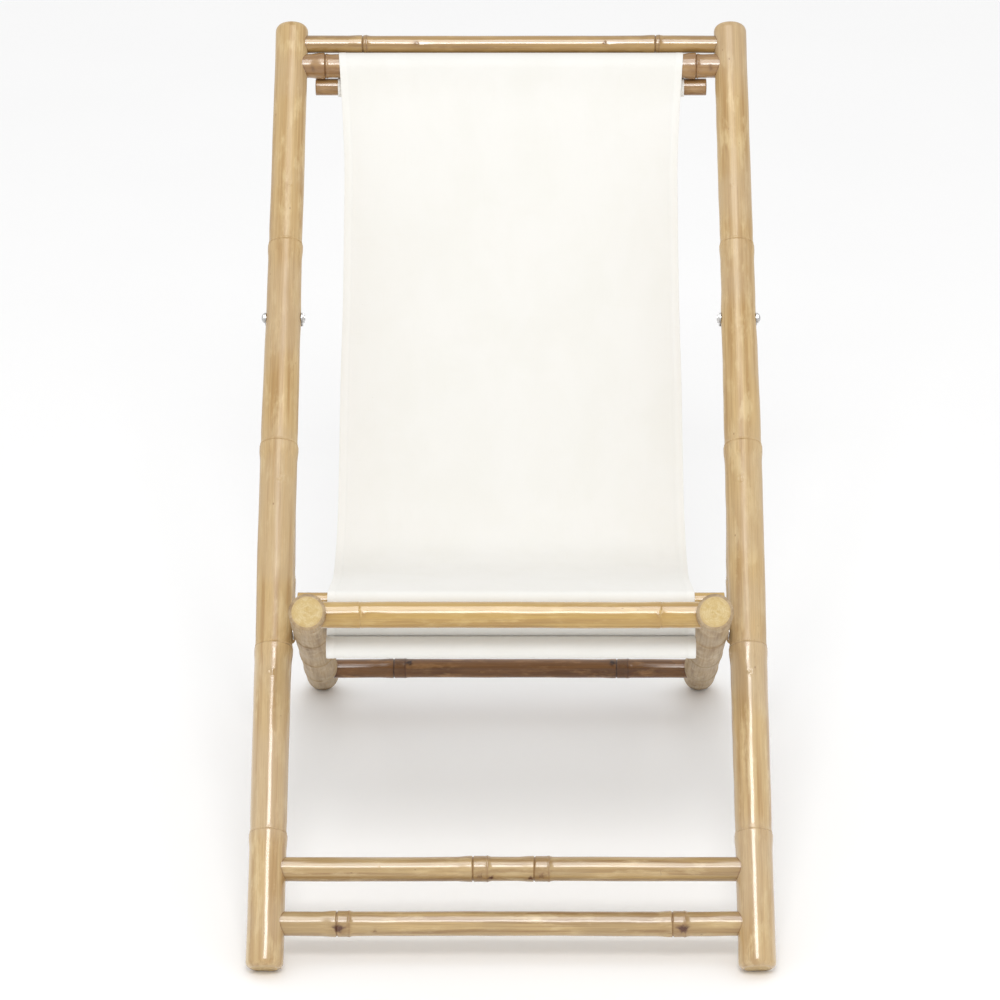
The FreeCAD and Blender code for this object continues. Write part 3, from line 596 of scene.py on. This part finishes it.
        # painted shade at each rail's joint with a pole: a thin dark line at the joint and a softer falloff beside it
        joint_shade = np.zeros(len(w))
        for a, b, ra, rb in poles:
            d = np.array(b - a)
            ln = np.linalg.norm(d)
            d /= ln
            q = w - np.array(a)
            along = q @ d
            dist = np.linalg.norm(q - along[:, None] * d, axis=1) - (ra + (rb - ra) * along / ln)
            joint_shade += np.exp(-((dist - 0.1) / 0.75) ** 2) + 0.35 * np.exp(-np.maximum(dist, 0) / 3.0)
        m2[:, 1] = np.minimum(joint_shade, 1.2)
    put_attr(ob.data, "m1", m1)
    put_attr(ob.data, "m2", m2)
    put_attr(ob.data, "rest", np.array(vl))
    if cuts:
        cv, cf = cutters(cuts, matrix.inverted())
        tool = mesh_object(name + "_tool", cv, cf, mats, [1] * len(cf), matrix)
        for a in ("m1", "m2", "rest"):
            put_attr(tool.data, a, np.zeros((len(cv), 3)))
        ob.data.polygons.foreach_set("material_index", np.array(midx, np.int32))
        mod = ob.modifiers.new("cut", "BOOLEAN")
        mod.operation, mod.object = "DIFFERENCE", tool
        mod.solver = "EXACT"
        bpy.context.view_layer.update()
        dg = bpy.context.evaluated_depsgraph_get()
        done = bpy.data.meshes.new_from_object(ob.evaluated_get(dg), preserve_all_data_layers=True, depsgraph=dg)
        ob.modifiers.clear()
        ob.data = done
        done.name = name
        bpy.data.objects.remove(tool)
    if flat:                                   # worn flat on the floor
        inv = matrix.inverted()
        for v in ob.data.vertices:
            w = matrix @ v.co
            if w.z < 0.0:
                w.z = 0.0
                v.co = inv @ w
    co = np.zeros(len(ob.data.vertices) * 3, np.float32)
    ob.data.vertices.foreach_get("co", co)
    co = co.reshape(-1, 3)
    co[:, 2] += seed * 1.37
    put_attr(ob.data, "rest", co)
    ob.data.set_sharp_from_angle(angle=math.radians(38))
    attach(ob, body)
    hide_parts(node)
    return ob


def V(x, yz):
    return P(x, yz)


def d90(a):
    return math.radians(a)


# ------------------------------------------------------------- long poles
pole_lines = []
for side in (-1, 1):
    name = "left" if side < 0 else "right"
    p0, p1 = V(side * back_x(0), back_at(0)), V(side * back_x(BACK_LEN), back_at(BACK_LEN))
    pole_lines.append((p0, p1))
    flip = (lambda a: a) if side < 0 else (lambda a: -180.0 - a)
    xo = back_x(S_PIVOT) + back_r(S_PIVOT)
    c = lambda x, q: V(side * x, q)
    cuts = [
        (c(xo - 7.0, PIVOT), c(xo + 12, PIVOT), 8.4, 48),
        (c(back_x(S_PIVOT) - 40, PIVOT), c(xo - 6.0, PIVOT), 4.02, 32),
        (c(back_x(PROP_S) - 40, PROP_PIVOT), c(back_x(PROP_S) + 40, PROP_PIVOT), 3.02, 32),
    ]
    cane("cane_back_" + name, p0, p1, 21.7, 19.6, "back_frame", "back_pole_" + name, "bamboo_pole",
         [M_POLE, M_FOOTEND, M_POLE_UP], seed=3 + side, seg=96, upper=376.8,
         rad=back_r,
         nodes=[(155.5, 1.0, 0, 0.95, d90(flip(-92)), -3.0), (376.8, 1.05, 0, 0.95, d90(flip(-84)), -2.6),
                (620.6, 1.2, 0, 1.0, d90(flip(-96)), -3.2), (870.8, 1.1, 0, 1.0, d90(flip(-84)), -2.6)],
         buds=[(575.3, d90(flip(-73.4)), 11.0, 9.5, 0.75), (342.6, d90(flip(-94.3)), 9.0, 9.0, 0.6),
               (939.6, d90(flip(-78)), 4.0, 4.5, 0.35), (125.6, d90(flip(95)), 9.0, 8.0, 0.7)],
         nicks=[(944.6, d90(flip(-92)), 12.0, 1.6, 0.5), (762.6, d90(flip(-86)), 9.0, 1.4, 0.6),
                (755.6, d90(flip(-96)), 6.0, 1.2, 0.5), (230.6, d90(flip(-100)), 7.0, 1.8, -0.35),
                (69.6, d90(flip(-118)), 4.0, 2.2, -0.5), (525.6, d90(flip(-105)), 8.0, 1.2, 0.35),
                (1015.6, d90(flip(-70)), 5.0, 1.4, -0.3), (435.6, d90(flip(-60)), 4.0, 1.6, -0.3)],
         e0=7.0, e1=9.5, bend=0.55, still=[(S_PIVOT, 30.0), (PROP_S, 16.0)], cuts=cuts, flat=True,
         pith=(9.4, 6.5))

# ------------------------------------------------------------- seat poles
seat_lines = []
BAR_C = seat_at(68.0, 18.5)
for side in (-1, 1):
    name = "left" if side < 0 else "right"
    p0, p1 = V(side * seat_x(0), seat_at(0)), V(side * seat_x(SEAT_LEN), seat_at(SEAT_LEN))
    seat_lines.append((p0, p1))
    sx, sr = seat_x(T_PIVOT), seat_r(T_PIVOT)
    cuts = [
        (V(side * 170, BAR_C), V(side * 300, BAR_C), 10.0, 64),
        (V(side * (sx - sr - 8), PIVOT), V(side * (sx - sr + 9.5), PIVOT), 9.6, 48),
        (V(side * (sx - sr + 9.0), PIVOT), V(side * (sx + sr + 8), PIVOT), 4.06, 32),
    ]
    for k in (-1, 0, 1):
        t = T_PIVOT + REST_R + k * NOTCH_STEP
        nr = PROP_BAR_R + NOTCH_GAP
        cc = seat_at(t, seat_r(t) - NOTCH_DEPTH + nr)
        cuts.append((V(side * 190, cc), V(side * 280, cc), nr, 56))
    m = (lambda a: a) if side < 0 else (lambda a: -180.0 - a)
    cane("cane_seat_" + name, p0, p1, 20.7, 20.2, "seat_frame", "seat_pole_" + name, "bamboo_pole",
         [M_SEAT, M_END], seed=11 + side, seg=96,
         # wide, strong dark node rings (ringw 6, dark 2.2): the node line's own colour plus painted shade on the step
         # of each node ridge
         nodes=[(228.0, 1.3, 0, 2.2, d90(m(60)), 0.5), (500.0, 1.3, 0, 2.2, d90(m(110)), 0.8), (717.0, 1.3, 0, 2.2, d90(m(80)), 0.4)], ringw=6.0,
         buds=[(194.0, d90(m(20)), 8.0, 7.5, 0.6), (534.0, d90(m(150)), 8.0, 7.5, 0.6), (104.0, d90(m(-20)), 6.0, 6.0, 0.5)],
         nicks=[(1.6, d90(m(180)), 5.0, 2.0, 0.6), (350.0, d90(m(-60)), 6.0, 1.4, 0.4), (740.0, d90(m(-110)), 6.0, 1.6, -0.3)],
         e0=3.4, e1=5.5, bend=0.35, growth=-1, still=[(T_PIVOT, 30.0)], cuts=cuts, flat=True, pith=(None, 7.0))

# --------------------------------------------------------- cross rails
UP = Vector((0, 0, 1))


def at_pole(lines, r):
    return [(a, b, r - 0.1, r - 0.1) for a, b in lines]


def rail(name, node, slot, yz, r, half, mats, body, poles, **kw):
    return cane(name, V(-half, yz), V(half, yz), r, r, body, node, slot, mats, xref=UP,
                e0=1.0, e1=1.0, poles=poles, capped=(False, False), shrink=0.05, **kw)


h = back_x(1126.6) - 8
rail("cane_top_rail", "top_rail", "bamboo_rail", back_at(1126.6), 10.8, h, [M_TOP, M_END], "back_frame", at_pole(pole_lines, back_r(1126.6)), seed=21, seg=64,
     nodes=[(h - 176.9, 0.7, 4.6, 0.6, 0.4, 0.3), (h + 176.9 - 4.6, 0.7, 4.6, 0.6, 2.0, 0.3)],
     buds=[(h - 112.0, d90(62), 4.5, 3.6, 0.55), (h + 112.0, d90(62), 4.5, 3.6, 0.55)],
     nicks=[(h - 30, d90(80), 6.0, 1.2, 0.3), (h + 60, d90(40), 5.0, 1.3, -0.3)], bend=0.5, uneven=0.10)
h = back_x(1098.9) - 8
rail("cane_canvas_rail", "canvas_rail", "bamboo_brown", back_at(1098.9), 14.2, h, [M_TAN, M_END], "back_frame", at_pole(pole_lines, back_r(1098.9)), seed=22, seg=72,
     nodes=[(h - 221.2, 1.5, 0, 0.6, 0.4, 0.4), (h + 221.2, 1.5, 0, 0.6, 2.2, 0.4)],
     nicks=[(h - 236, d90(86), 9.0, 5.0, -0.5), (h + 238, d90(80), 9.0, 5.0, -0.5)], bend=0.1, uneven=0.05)
h = back_x(115.5) - 8
rail("cane_foot_upper", "foot_rail_upper", "bamboo_rail", back_at(115.5), 14.0, h, [M_FOOT, M_END], "back_frame", at_pole(pole_lines, back_r(115.5)), seed=23, seg=80,
     nodes=[(h - 43.2, 0.9, 16.5, 0.5, 1.0, 0.5), (h + 26.7, 0.9, 16.5, 0.5, 2.0, 0.5)],
     buds=[(h - 22.6, d90(110), 6.0, 5.0, 1.0), (h + 22.6, d90(110), 6.0, 5.0, 1.0), (h - 35, d90(100), 5.0, 5.0, 0.45), (h + 35, d90(100), 5.0, 5.0, 0.45)],
     nicks=[(h - 150, d90(50), 10.0, 1.4, 0.3), (h + 170, d90(80), 7.0, 1.5, -0.3)], bend=0.6)
h = back_x(52.1) - 8
rail("cane_foot_lower", "foot_rail_lower", "bamboo_rail", back_at(52.1), 14.2, h, [M_FOOT, M_END], "back_frame", at_pole(pole_lines, back_r(52.1)), seed=24, seg=80,
     nodes=[(h - 197.3, 0.9, 14.0, 0.45, 1.2, 0.5), (h + 183.3, 0.9, 14.0, 0.45, 0.3, 0.5)],
     buds=[(h - 195.0, d90(84), 11.0, 9.0, 1.1), (h + 195.0, d90(84), 11.0, 9.0, 1.1), (h - 154, d90(100), 4.0, 3.0, 0.5)],
     nicks=[(h - 40, d90(90), 8.0, 1.4, -0.25), (h + 90, d90(60), 6.0, 1.4, 0.3)], bend=0.6)
h = seat_x(35.0) - 8
rail("cane_front_rail", "front_rail", "bamboo_rail", seat_at(35.0), 14.7, h, [M_GOLD, M_END], "seat_frame", at_pole(seat_lines, seat_r(35.0)), seed=25, seg=80,
     nodes=[(h - 167.5, 0.22, 0, 0.06, 0.6, 0.6), (h + 167.5, 0.22, 0, 0.06, 2.0, 0.6)],
     buds=[(h - 164.5, d90(66), 6.0, 5.0, 0.15), (h + 164.5, d90(66), 6.0, 5.0, 0.15)],
     nicks=[(h - 166.5, d90(60), 9.0, 1.8, 0.9), (h + 166.5, d90(60), 9.0, 1.8, 0.9)], bend=0.5)
h = seat_x(770.0) - 8
rail("cane_rear_crossbar", "rear_crossbar", "bamboo_brown", seat_at(770.0), 11.9, h, [M_BROWN, M_END], "seat_frame", at_pole(seat_lines, seat_r(770.0)), seed=26, seg=64,
     nodes=[(h - 146.0, 0.5, 14.0, 0.9, 0.6, 0.4), (h + 132.0, 0.5, 14.0, 0.9, 2.0, 0.4)],
     buds=[(h - 127, d90(30), 8.0, 7.0, 1.0), (h + 127, d90(30), 8.0, 7.0, 1.0)], bend=0.5)

# canvas bar, let into the seat poles, with the screws' countersinks
screw_cuts = []
for side in (-1, 1):
    top = V(side * seat_x(68.0), BAR_C) + Vector((0, sg, cg)) * 10.0
    d = Vector((0, -sg, -cg))
    screw_cuts.append((top + d * 0.55, top - d * 4, 3.7, 32))
    screw_cuts.append((top + d * 1.5, top + d * 30, 1.9, 20))
cane("cane_canvas_bar", V(-239.0, BAR_C), V(239.0, BAR_C), 10.0, 10.0, "seat_frame", "canvas_bar_front", "bamboo_rail",
     [M_GOLD, M_END], xref=UP, e0=1.4, e1=1.4, seed=27, seg=64, bend=0.0, uneven=0.03, cuts=screw_cuts, shrink=0.12,
     nodes=[(120.0, 0.12, 0, 0.4, 0.6, 0.2), (372.0, 0.12, 0, 0.4, 1.6, 0.2)])

# hem rods
RAIL_C = back_at(1098.9)
HEM_C = (RAIL_C[0] + 2.0, RAIL_C[1] - 26.8)
ROD_C = (BAR_C[0] - 0.3, BAR_C[1] - 57.0)
cane("cane_hem_rod_top", V(-233.5, HEM_C), V(233.5, HEM_C), 10.4, 10.4, "back_frame", "hem_rod_top", "bamboo_brown",
     [M_TAN, M_ENDB], xref=UP, e0=1.2, e1=1.2, seed=28, seg=56, bend=0.0, uneven=0.04, shrink=0.1,
     nodes=[(150.0, 0.12, 0, 0.6, 0.6, 0.3), (352.0, 0.12, 0, 0.6, 1.6, 0.3)])
cane("cane_hem_rod_front", V(-200.0, ROD_C), V(200.0, ROD_C), 10.4, 10.4, "seat_frame", "hem_rod_front", "bamboo_brown",
     [M_TAN, M_ENDB], xref=UP, e0=1.2, e1=1.2, seed=29, seg=56, bend=0.0, uneven=0.04, shrink=0.1,
     nodes=[(90.0, 0.12, 0, 0.6, 0.6, 0.3), (310.0, 0.12, 0, 0.6, 1.6, 0.3)])

# ------------------------------------------------------------------ prop
prop_lines = []
RIV = prop_at(17.0)
for side in (-1, 1):
    name = "left" if side < 0 else "right"
    p0, p1 = V(side * prop_x(5.0), prop_at(5.0)), V(side * prop_x(PROP_LEN + 17.0), prop_at(PROP_LEN + 17.0))
    prop_lines.append((p0, p1, 13.7, 13.7))
    rx = prop_x(17.0)
    cane("cane_prop_" + name, p0, p1, 13.4, 13.8, "prop_frame", "prop_pole_" + name, "bamboo_rail",
         [M_POLE, M_END], seed=31 + side, seg=72, e0=4.0, e1=4.0, bend=0.3, growth=-1,
         nodes=[(137.0, 0.55, 0, 0.9, 1.0, 0.4), (330.0, 0.55, 0, 0.9, 2.5, 0.6)],
         buds=[(160.0, d90(80), 8.0, 7.0, 0.7), (352.0, d90(-60), 8.0, 7.0, 0.7)],
         cuts=[(V(side * (rx - 30), RIV), V(side * (rx + 30), RIV), 2.52, 28)], still=[(12.0, 14.0)])
h = prop_x(PROP_LEN) - 6
cane("cane_prop_bar", V(-h, PROP_BAR), V(h, PROP_BAR), 9.5, 9.5, "prop_frame", "prop_crossbar", "bamboo_brown",
     [M_TAN, M_END], xref=UP, e0=1.0, e1=1.0, poles=prop_lines, capped=(False, False), seed=33, seg=64, bend=0.0,
     uneven=0.05, shrink=0.08, nodes=[(130.0, 0.10, 0, 0.9, 0.6, 0.3), (390.0, 0.10, 0, 0.9, 1.6, 0.3)])

# ------------------------------------------------------- carried-over nodes
for n in ("main_pivot_bolts", "main_pivot_nuts", "main_pivot_washers", "pivot_spacers", "prop_pivot_bolts",
          "prop_pivot_nuts", "canvas_bar_screws", "strap_rivets"):
    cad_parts[n].data.materials.clear()
    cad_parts[n].data.materials.append(M_STEEL)
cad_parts["prop_hinge_straps"].data.materials.clear()
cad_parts["prop_hinge_straps"].data.materials.append(M_STRAP)
for n in ("back_rail_pins", "seat_rail_pins", "prop_pins"):
    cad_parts[n].data.materials.clear()
    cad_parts[n].data.materials.append(M_PIN)


# ----------------------------------------------------------------- canvas
def arc(c, r, a0, a1, step):
    n = max(2, int(abs(a1 - a0) / step) + 1)
    return [(c[0] + r * math.cos(math.radians(a0 + (a1 - a0) * i / n)),
             c[1] + r * math.sin(math.radians(a0 + (a1 - a0) * i / n))) for i in range(n + 1)]


def spline(pts, t0, t1, step):
    """A smooth line through pts (Catmull-Rom on chord length) that starts and ends along t0 and t1."""
    p = np.array(pts, float)
    d = np.r_[0, np.cumsum(np.linalg.norm(np.diff(p, axis=0), axis=1))]
    m = np.zeros_like(p)
    for i in range(1, len(p) - 1):
        h0, h1 = d[i] - d[i - 1], d[i + 1] - d[i]
        m[i] = ((p[i] - p[i - 1]) / h0 * h1 + (p[i + 1] - p[i]) / h1 * h0) / (h0 + h1)
    m[0], m[-1] = np.array(t0), np.array(t1)
    out = []
    for i in range(len(p) - 1):
        hh = d[i + 1] - d[i]
        n = max(2, int(hh / step))
        for k in range(n):
            t = k / n
            a, b, c, e = 2 * t ** 3 - 3 * t ** 2 + 1, t ** 3 - 2 * t ** 2 + t, -2 * t ** 3 + 3 * t ** 2, t ** 3 - t ** 2
            out.append(tuple(a * p[i] + b * hh * m[i] + c * p[i + 1] + e * hh * m[i + 1]))
    out.append(tuple(p[-1]))
    return out


CLOTH = 1.1
half = CLOTH / 2
r_hem, r_rail, r_bar, r_fr = 10.4 + 0.35 + half, 14.3 + 0.35 + half, 10.0 + 0.35 + half, 10.4 + 0.35 + half
dy, dz_ = RAIL_C[0] - HEM_C[0], RAIL_C[1] - HEM_C[1]
dd = math.hypot(dy, dz_)
a_tan = math.degrees(math.atan2(dz_, dy)) - 90 + math.degrees(math.asin((r_hem - r_rail) / dd))
sling = [(687.6, 826.3), (671.6, 780.3), (649.6, 720.3), (618.6, 649.3), (577.6, 571.3),
         (527.6, 492.3), (481.6, 424.3), (443.6, 376.3), (408.6, 353.3),
         (368.6, 349.3), (318.6, 359.3), (253.6, 380.3), (178.6, 405.3)]
fdir = math.degrees(math.atan2(sling[0][1] - RAIL_C[1], sling[0][0] - RAIL_C[0]))
fd = math.hypot(sling[0][0] - RAIL_C[0], sling[0][1] - RAIL_C[1])
a_front = (fdir - math.degrees(math.acos(min(1.0, r_rail / fd)))) % 360
bdir = math.degrees(math.atan2(sling[-1][1] - BAR_C[1], sling[-1][0] - BAR_C[0]))
bd = math.hypot(sling[-1][0] - BAR_C[0], sling[-1][1] - BAR_C[1])
a_bar = bdir + math.degrees(math.acos(r_bar / bd))

path = []
path += arc(HEM_C, r_hem, a_tan - 322, a_tan, 6)
path += arc(RAIL_C, r_rail, a_tan, a_front, 6)
ta = math.radians(a_front)
tb = math.radians(a_bar)
start = (RAIL_C[0] + r_rail * math.cos(ta), RAIL_C[1] + r_rail * math.sin(ta))
stop = (BAR_C[0] + r_bar * math.cos(tb), BAR_C[1] + r_bar * math.sin(tb))
path += spline([start] + sling + [stop], (-math.sin(ta), math.cos(ta)), (-math.sin(tb), math.cos(tb)), 5.0)
# down to the rear side of the front rod, round it and up in front, where it is sewn to itself
rdy, rdz = ROD_C[0] - BAR_C[0], ROD_C[1] - BAR_C[1]
a_off = math.degrees(math.atan2(rdz, rdy)) % 360 - math.degrees(math.acos((r_bar + r_fr) / math.hypot(rdy, rdz)))
path += arc(BAR_C, r_bar, a_bar, a_off, 6)
nf = (math.cos(math.radians(a_off)), math.sin(math.radians(a_off)))
p_a = (BAR_C[0] + nf[0] * r_bar, BAR_C[1] + nf[1] * r_bar)
p_b = (ROD_C[0] - nf[0] * r_fr, ROD_C[1] - nf[1] * r_fr)
SEW = 11.8
k_sew = (ROD_C[1] + SEW - p_b[1]) / (p_a[1] - p_b[1])
sew = (p_b[0] + (p_a[0] - p_b[0]) * k_sew + nf[0] * (CLOTH + 0.25), p_b[1] + (p_a[1] - p_b[1]) * k_sew + nf[1] * (CLOTH + 0.25))
sew_a = math.degrees(math.atan2(sew[1] - ROD_C[1], sew[0] - ROD_C[0]))
sew_d = math.hypot(sew[0] - ROD_C[0], sew[1] - ROD_C[1])
a_up = sew_a + math.degrees(math.acos(r_fr / sew_d)) - 360.0
path += arc(ROD_C, r_fr, a_off - 180.0, a_up, 6)
path += [sew]
# even out the points, close together on the bends
clean = [path[0]]
for q in path[1:]:
    if math.hypot(q[0] - clean[-1][0], q[1] - clean[-1][1]) > 0.7:
        clean.append(q)
fine = [clean[0]]
for a, b in zip(clean[:-1], clean[1:]):
    L = math.hypot(b[0] - a[0], b[1] - a[1])
    n = max(1, int(math.ceil(L / 6.0)))
    for k in range(1, n + 1):
        fine.append((a[0] + (b[0] - a[0]) * k / n, a[1] + (b[1] - a[1]) * k / n))
path = np.array(fine)
seg_l = np.linalg.norm(np.diff(path, axis=0), axis=1)
plen = np.r_[0, np.cumsum(seg_l)]
total = plen[-1]
tan = np.gradient(path, axis=0)
tan /= np.linalg.norm(tan, axis=1)[:, None]
nor = np.stack([-tan[:, 1], tan[:, 0]], 1)

# half width along the path, from the photograph's edges
i_front = int(np.argmin(np.hypot(path[:, 0] - stop[0], path[:, 1] - stop[1])))
i_back = int(np.argmin(np.hypot(path[:, 0] - start[0], path[:, 1] - start[1])))
s_back, s_front = plen[i_back], plen[i_front]
knots_s = [0.0, s_back - 45, s_back] + [s_back + q for q in (60, 112, 190, 278, 372, 454, 515, 557, 597, 648, 716, 795)]
knots_w = [206.6, 206.6, 204.0, 200.5, 198.4, 199.2, 200.1, 202.6, 203.5, 204.3, 205.1, 206.3, 206.1, 204.8, 203.5]
knots_s = [q for q in knots_s if q < s_front - 12]
knots_w = knots_w[:len(knots_s)] + [205.2, 205.4, 207.4, 207.6]
knots_s += [s_front, s_front + 30, s_front + 66, total]
width = np.interp(plen, knots_s, knots_w)
kern = np.ones(9) / 9.0
width = np.convolve(np.pad(width, 4, mode="edge"), kern, mode="valid")

cols = np.r_[np.array([-1.0, -0.9985, -0.992, -0.975, -0.9595, -0.957, -0.94]),
             np.linspace(-0.91, 0.91, 71), np.array([0.94, 0.957, 0.9595, 0.975, 0.992, 0.9985, 1.0])]
npth, ncol = len(path), len(cols)
U = cols[None, :] * width[:, None]
free = smooth(s_back + 15, s_back + 170, plen) * (1 - smooth(s_front - 160, s_front - 15, plen))
span = (plen - s_back) / (s_front - s_back)
rngc = np.random.RandomState(5)
disp = -2.6 * (1 - cols[None, :] ** 2) * (free * np.sin(np.pi * np.clip(span, 0, 1)))[:, None]
for k in range(10):                                # very soft unevenness of slack cloth
    fu, fv = rngc.uniform(2, 9), rngc.uniform(3, 14)
    disp += 0.16 * np.sin(fu * cols[None, :] * 1.6 + rngc.uniform(0, 6.28)) * np.sin(fv * span[:, None] * 3.1 + rngc.uniform(0, 6.28)) * free[:, None]
near_top = np.exp(-np.maximum(plen - s_back, 0) / 55.0) * smooth(s_back + 2, s_back + 18, plen)
near_bar = np.exp(-np.maximum(s_front - plen, 0) / 60.0) * (1 - smooth(s_front - 16, s_front - 2, plen))
pull = 0.30 * np.sin(cols * 31 + 0.6) + 0.22 * np.sin(cols * 53 + 2.0)
disp += pull[None, :] * (near_top + near_bar)[:, None]
hem_zone = smooth(0.9565, 0.9600, np.abs(cols))[None, :] + 0 * U
thick = half * (1.0 + 0.55 * hem_zone) * (1 - 0.45 * smooth(0.992, 1.0, np.abs(cols)))[None, :]
outer = np.zeros((npth, ncol, 3))
inner = np.zeros((npth, ncol, 3))
for arr, sgn in ((outer, 1.0), (inner, -1.0)):
    arr[..., 0] = U
    off = disp + sgn * thick
    arr[..., 1] = path[:, 0][:, None] + nor[:, 0][:, None] * off - YC
    arr[..., 2] = path[:, 1][:, None] + nor[:, 1][:, None] * off
verts = np.vstack([outer.reshape(-1, 3), inner.reshape(-1, 3)]) * MM
uvw = np.stack([U * MM, plen[:, None] * MM + 0 * U, hem_zone], -1).reshape(-1, 3)
uvw = np.vstack([uvw, uvw + np.array([0.31, 0.17, 0.0])])
N = npth * ncol
faces = []
for i in range(npth - 1):
    for j in range(ncol - 1):
        a, b, c, d = i * ncol + j, i * ncol + j + 1, (i + 1) * ncol + j + 1, (i + 1) * ncol + j
        faces.append((a, b, c, d))
        faces.append((N + a, N + d, N + c, N + b))
for i in range(npth - 1):
    a, d = i * ncol, (i + 1) * ncol
    faces.append((a, d, N + d, N + a))
    b, c = i * ncol + ncol - 1, (i + 1) * ncol + ncol - 1
    faces.append((b, N + b, N + c, c))
for j in range(ncol - 1):
    a, b = j, j + 1
    faces.append((a, N + a, N + b, b))
    c, d = (npth - 1) * ncol + j, (npth - 1) * ncol + j + 1
    faces.append((c, d, N + d, N + c))
cloth = mesh_object("canvas_sling", verts, faces, [M_CLOTH])
put_attr(cloth.data, "cloth_uv", uvw)


# ------------------------------------------------------------- stitching
def stitch_row(pts, along, out, r=0.32, length=2.6, pitch=3.6):
    """Small threads lying on the cloth, one after another from the first point to the last."""
    verts, faces = [], []
    a, b = Vector(pts[0]), Vector(pts[1])
    n = int((b - a).length / pitch)
    side = along.cross(out).normalized()
    for i in range(n):
        c = a + (b - a) * ((i + 0.5) / n)
        i0 = len(verts)
        prof = [(-0.5, 0.25, -0.35), (-0.36, 0.85, 0.10), (0.0, 1.0, 0.30), (0.36, 0.85, 0.10), (0.5, 0.25, -0.35)]
        for f, w, lift in prof:
            for k in range(6):
                t = 2 * math.pi * k / 6
                verts.append(c + along * (f * length) + side * (math.cos(t) * r * w) + out * (math.sin(t) * r * w + lift * r))
        for q in range(len(prof) - 1):
            for k in range(6):
                k2 = (k + 1) % 6
                faces.append((i0 + q * 6 + k, i0 + q * 6 + k2, i0 + (q + 1) * 6 + k2, i0 + (q + 1) * 6 + k))
        faces.append(tuple(i0 + k for k in reversed(range(6))))
        faces.append(tuple(i0 + (len(prof) - 1) * 6 + k for k in range(6)))
    return verts, faces


def stitches(name, rows, body):
    vs, fs = [], []
    for pts, along, out in rows:
        v, f = stitch_row(pts, along, out)
        fs += [tuple(i + len(vs) for i in q) for q in f]
        vs += v
    ob = mesh_object(name, [v * MM for v in vs], fs, [M_THREAD])
    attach(ob, body)
    return ob


def on_cloth(i, sgn):
    n = Vector((0, nor[i, 0], nor[i, 1])) * sgn
    p = Vector((0, path[i, 0] - YC, path[i, 1])) + n * (half + 0.05)
    return p, n


# rows across the cloth: just above the top rod at the rear, and above the front rod
X1 = Vector((1, 0, 0))
rows = []
i_tan = int(np.argmin(np.abs(plen - (r_hem * math.radians(322) + 7.0))))
for sgn in (1, -1):
    p, n = on_cloth(i_tan, sgn)
    rows.append(((p + X1 * -196.0, p + X1 * 196.0), X1, n))
top_thread = stitches("thread_top_sleeve", rows, "back_frame")
rows = []
i_low = int(np.argmin(np.abs(plen - (total - 3.2))))
p, n = on_cloth(i_low, -1 if nor[i_low, 0] > 0 else 1)
rows.append(((p + X1 * -203.0, p + X1 * 203.0), X1, n))
p_r = (p_b[0] + (p_a[0] - p_b[0]) * k_sew * 0.86, p_b[1] + (p_a[1] - p_b[1]) * k_sew * 0.86)
n = Vector((0, -nf[0], -nf[1]))
p = Vector((0, p_r[0] - YC, p_r[1])) + n * (half + 0.05)
rows.append(((p + X1 * -203.0, p + X1 * 203.0), X1, n))
front_thread = stitches("thread_front_sleeve", rows, "seat_frame")

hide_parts("sling_canvas")
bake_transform(cloth)

# ------------------------------------------------------------------ stage
fm = Tree("floor_pale")
fco = fm.node("ShaderNodeTexCoord").outputs["Object"]
fn = fm.noise(fco, 3.0, 4.0, 0.5)
fm.set(color=fm.mix(fn, (0.965, 0.965, 0.965, 1.0), (0.98, 0.98, 0.98, 1.0)), rough=fm.ramp(fn, 0.3, 0.7, 0.75, 0.85))
fv = [(-14, -14, -0.0004), (14, -14, -0.0004), (14, 14, -0.0004), (-14, 14, -0.0004)]
floor = mesh_object("floor", fv, [(0, 1, 2, 3)], [fm.mat])

world = bpy.data.worlds.new("studio")
bpy.context.scene.world = world
world.use_nodes = True
bg = world.node_tree.nodes["Background"]
bg.inputs[0].default_value = (1.0, 1.0, 1.0, 1.0)
bg.inputs[1].default_value = 0.92


def area(name, loc, target, size, power, color=(1, 1, 1)):
    l = bpy.data.lights.new(name, "AREA")
    l.shape = "RECTANGLE"
    l.size, l.size_y = size
    l.energy = power
    l.color = color
    o = bpy.data.objects.new(name, l)
    bpy.context.scene.collection.objects.link(o)
    o.location = loc
    o.rotation_euler = (Vector(target) - Vector(loc)).to_track_quat("-Z", "Y").to_euler()
    return o


area("key", (0.0, -2.97, 3.38), (0.0, -0.10, 0.40), (1.3, 1.0), 57.0)
# a large soft box overhead, seen in the lacquer as the broad pale bands on the rails
soft = area("softbox", (0.0, -0.70, 2.37), (0.0, -0.20, 0.43), (1.2, 1.58), 33.0)
soft.visible_diffuse = False

cam_data = bpy.data.cameras.new("camera")
cam_data.sensor_width = 36.0
cam_data.lens = 190.8
cam_data.shift_x = -0.011
cam_data.clip_start, cam_data.clip_end = 0.1, 60.0
cam = bpy.data.objects.new("camera", cam_data)
bpy.context.scene.collection.objects.link(cam)
cam.location = (0.0, -5.7307, 2.7920)
cam.rotation_euler = (math.radians(67.5), 0.0, 0.0)
bpy.context.scene.camera = cam
bpy.context.scene.view_settings.view_transform = "Standard"
bpy.context.scene.view_settings.look = "None"
bpy.context.scene.view_settings.exposure = 0.0

bpy.context.view_layer.update()
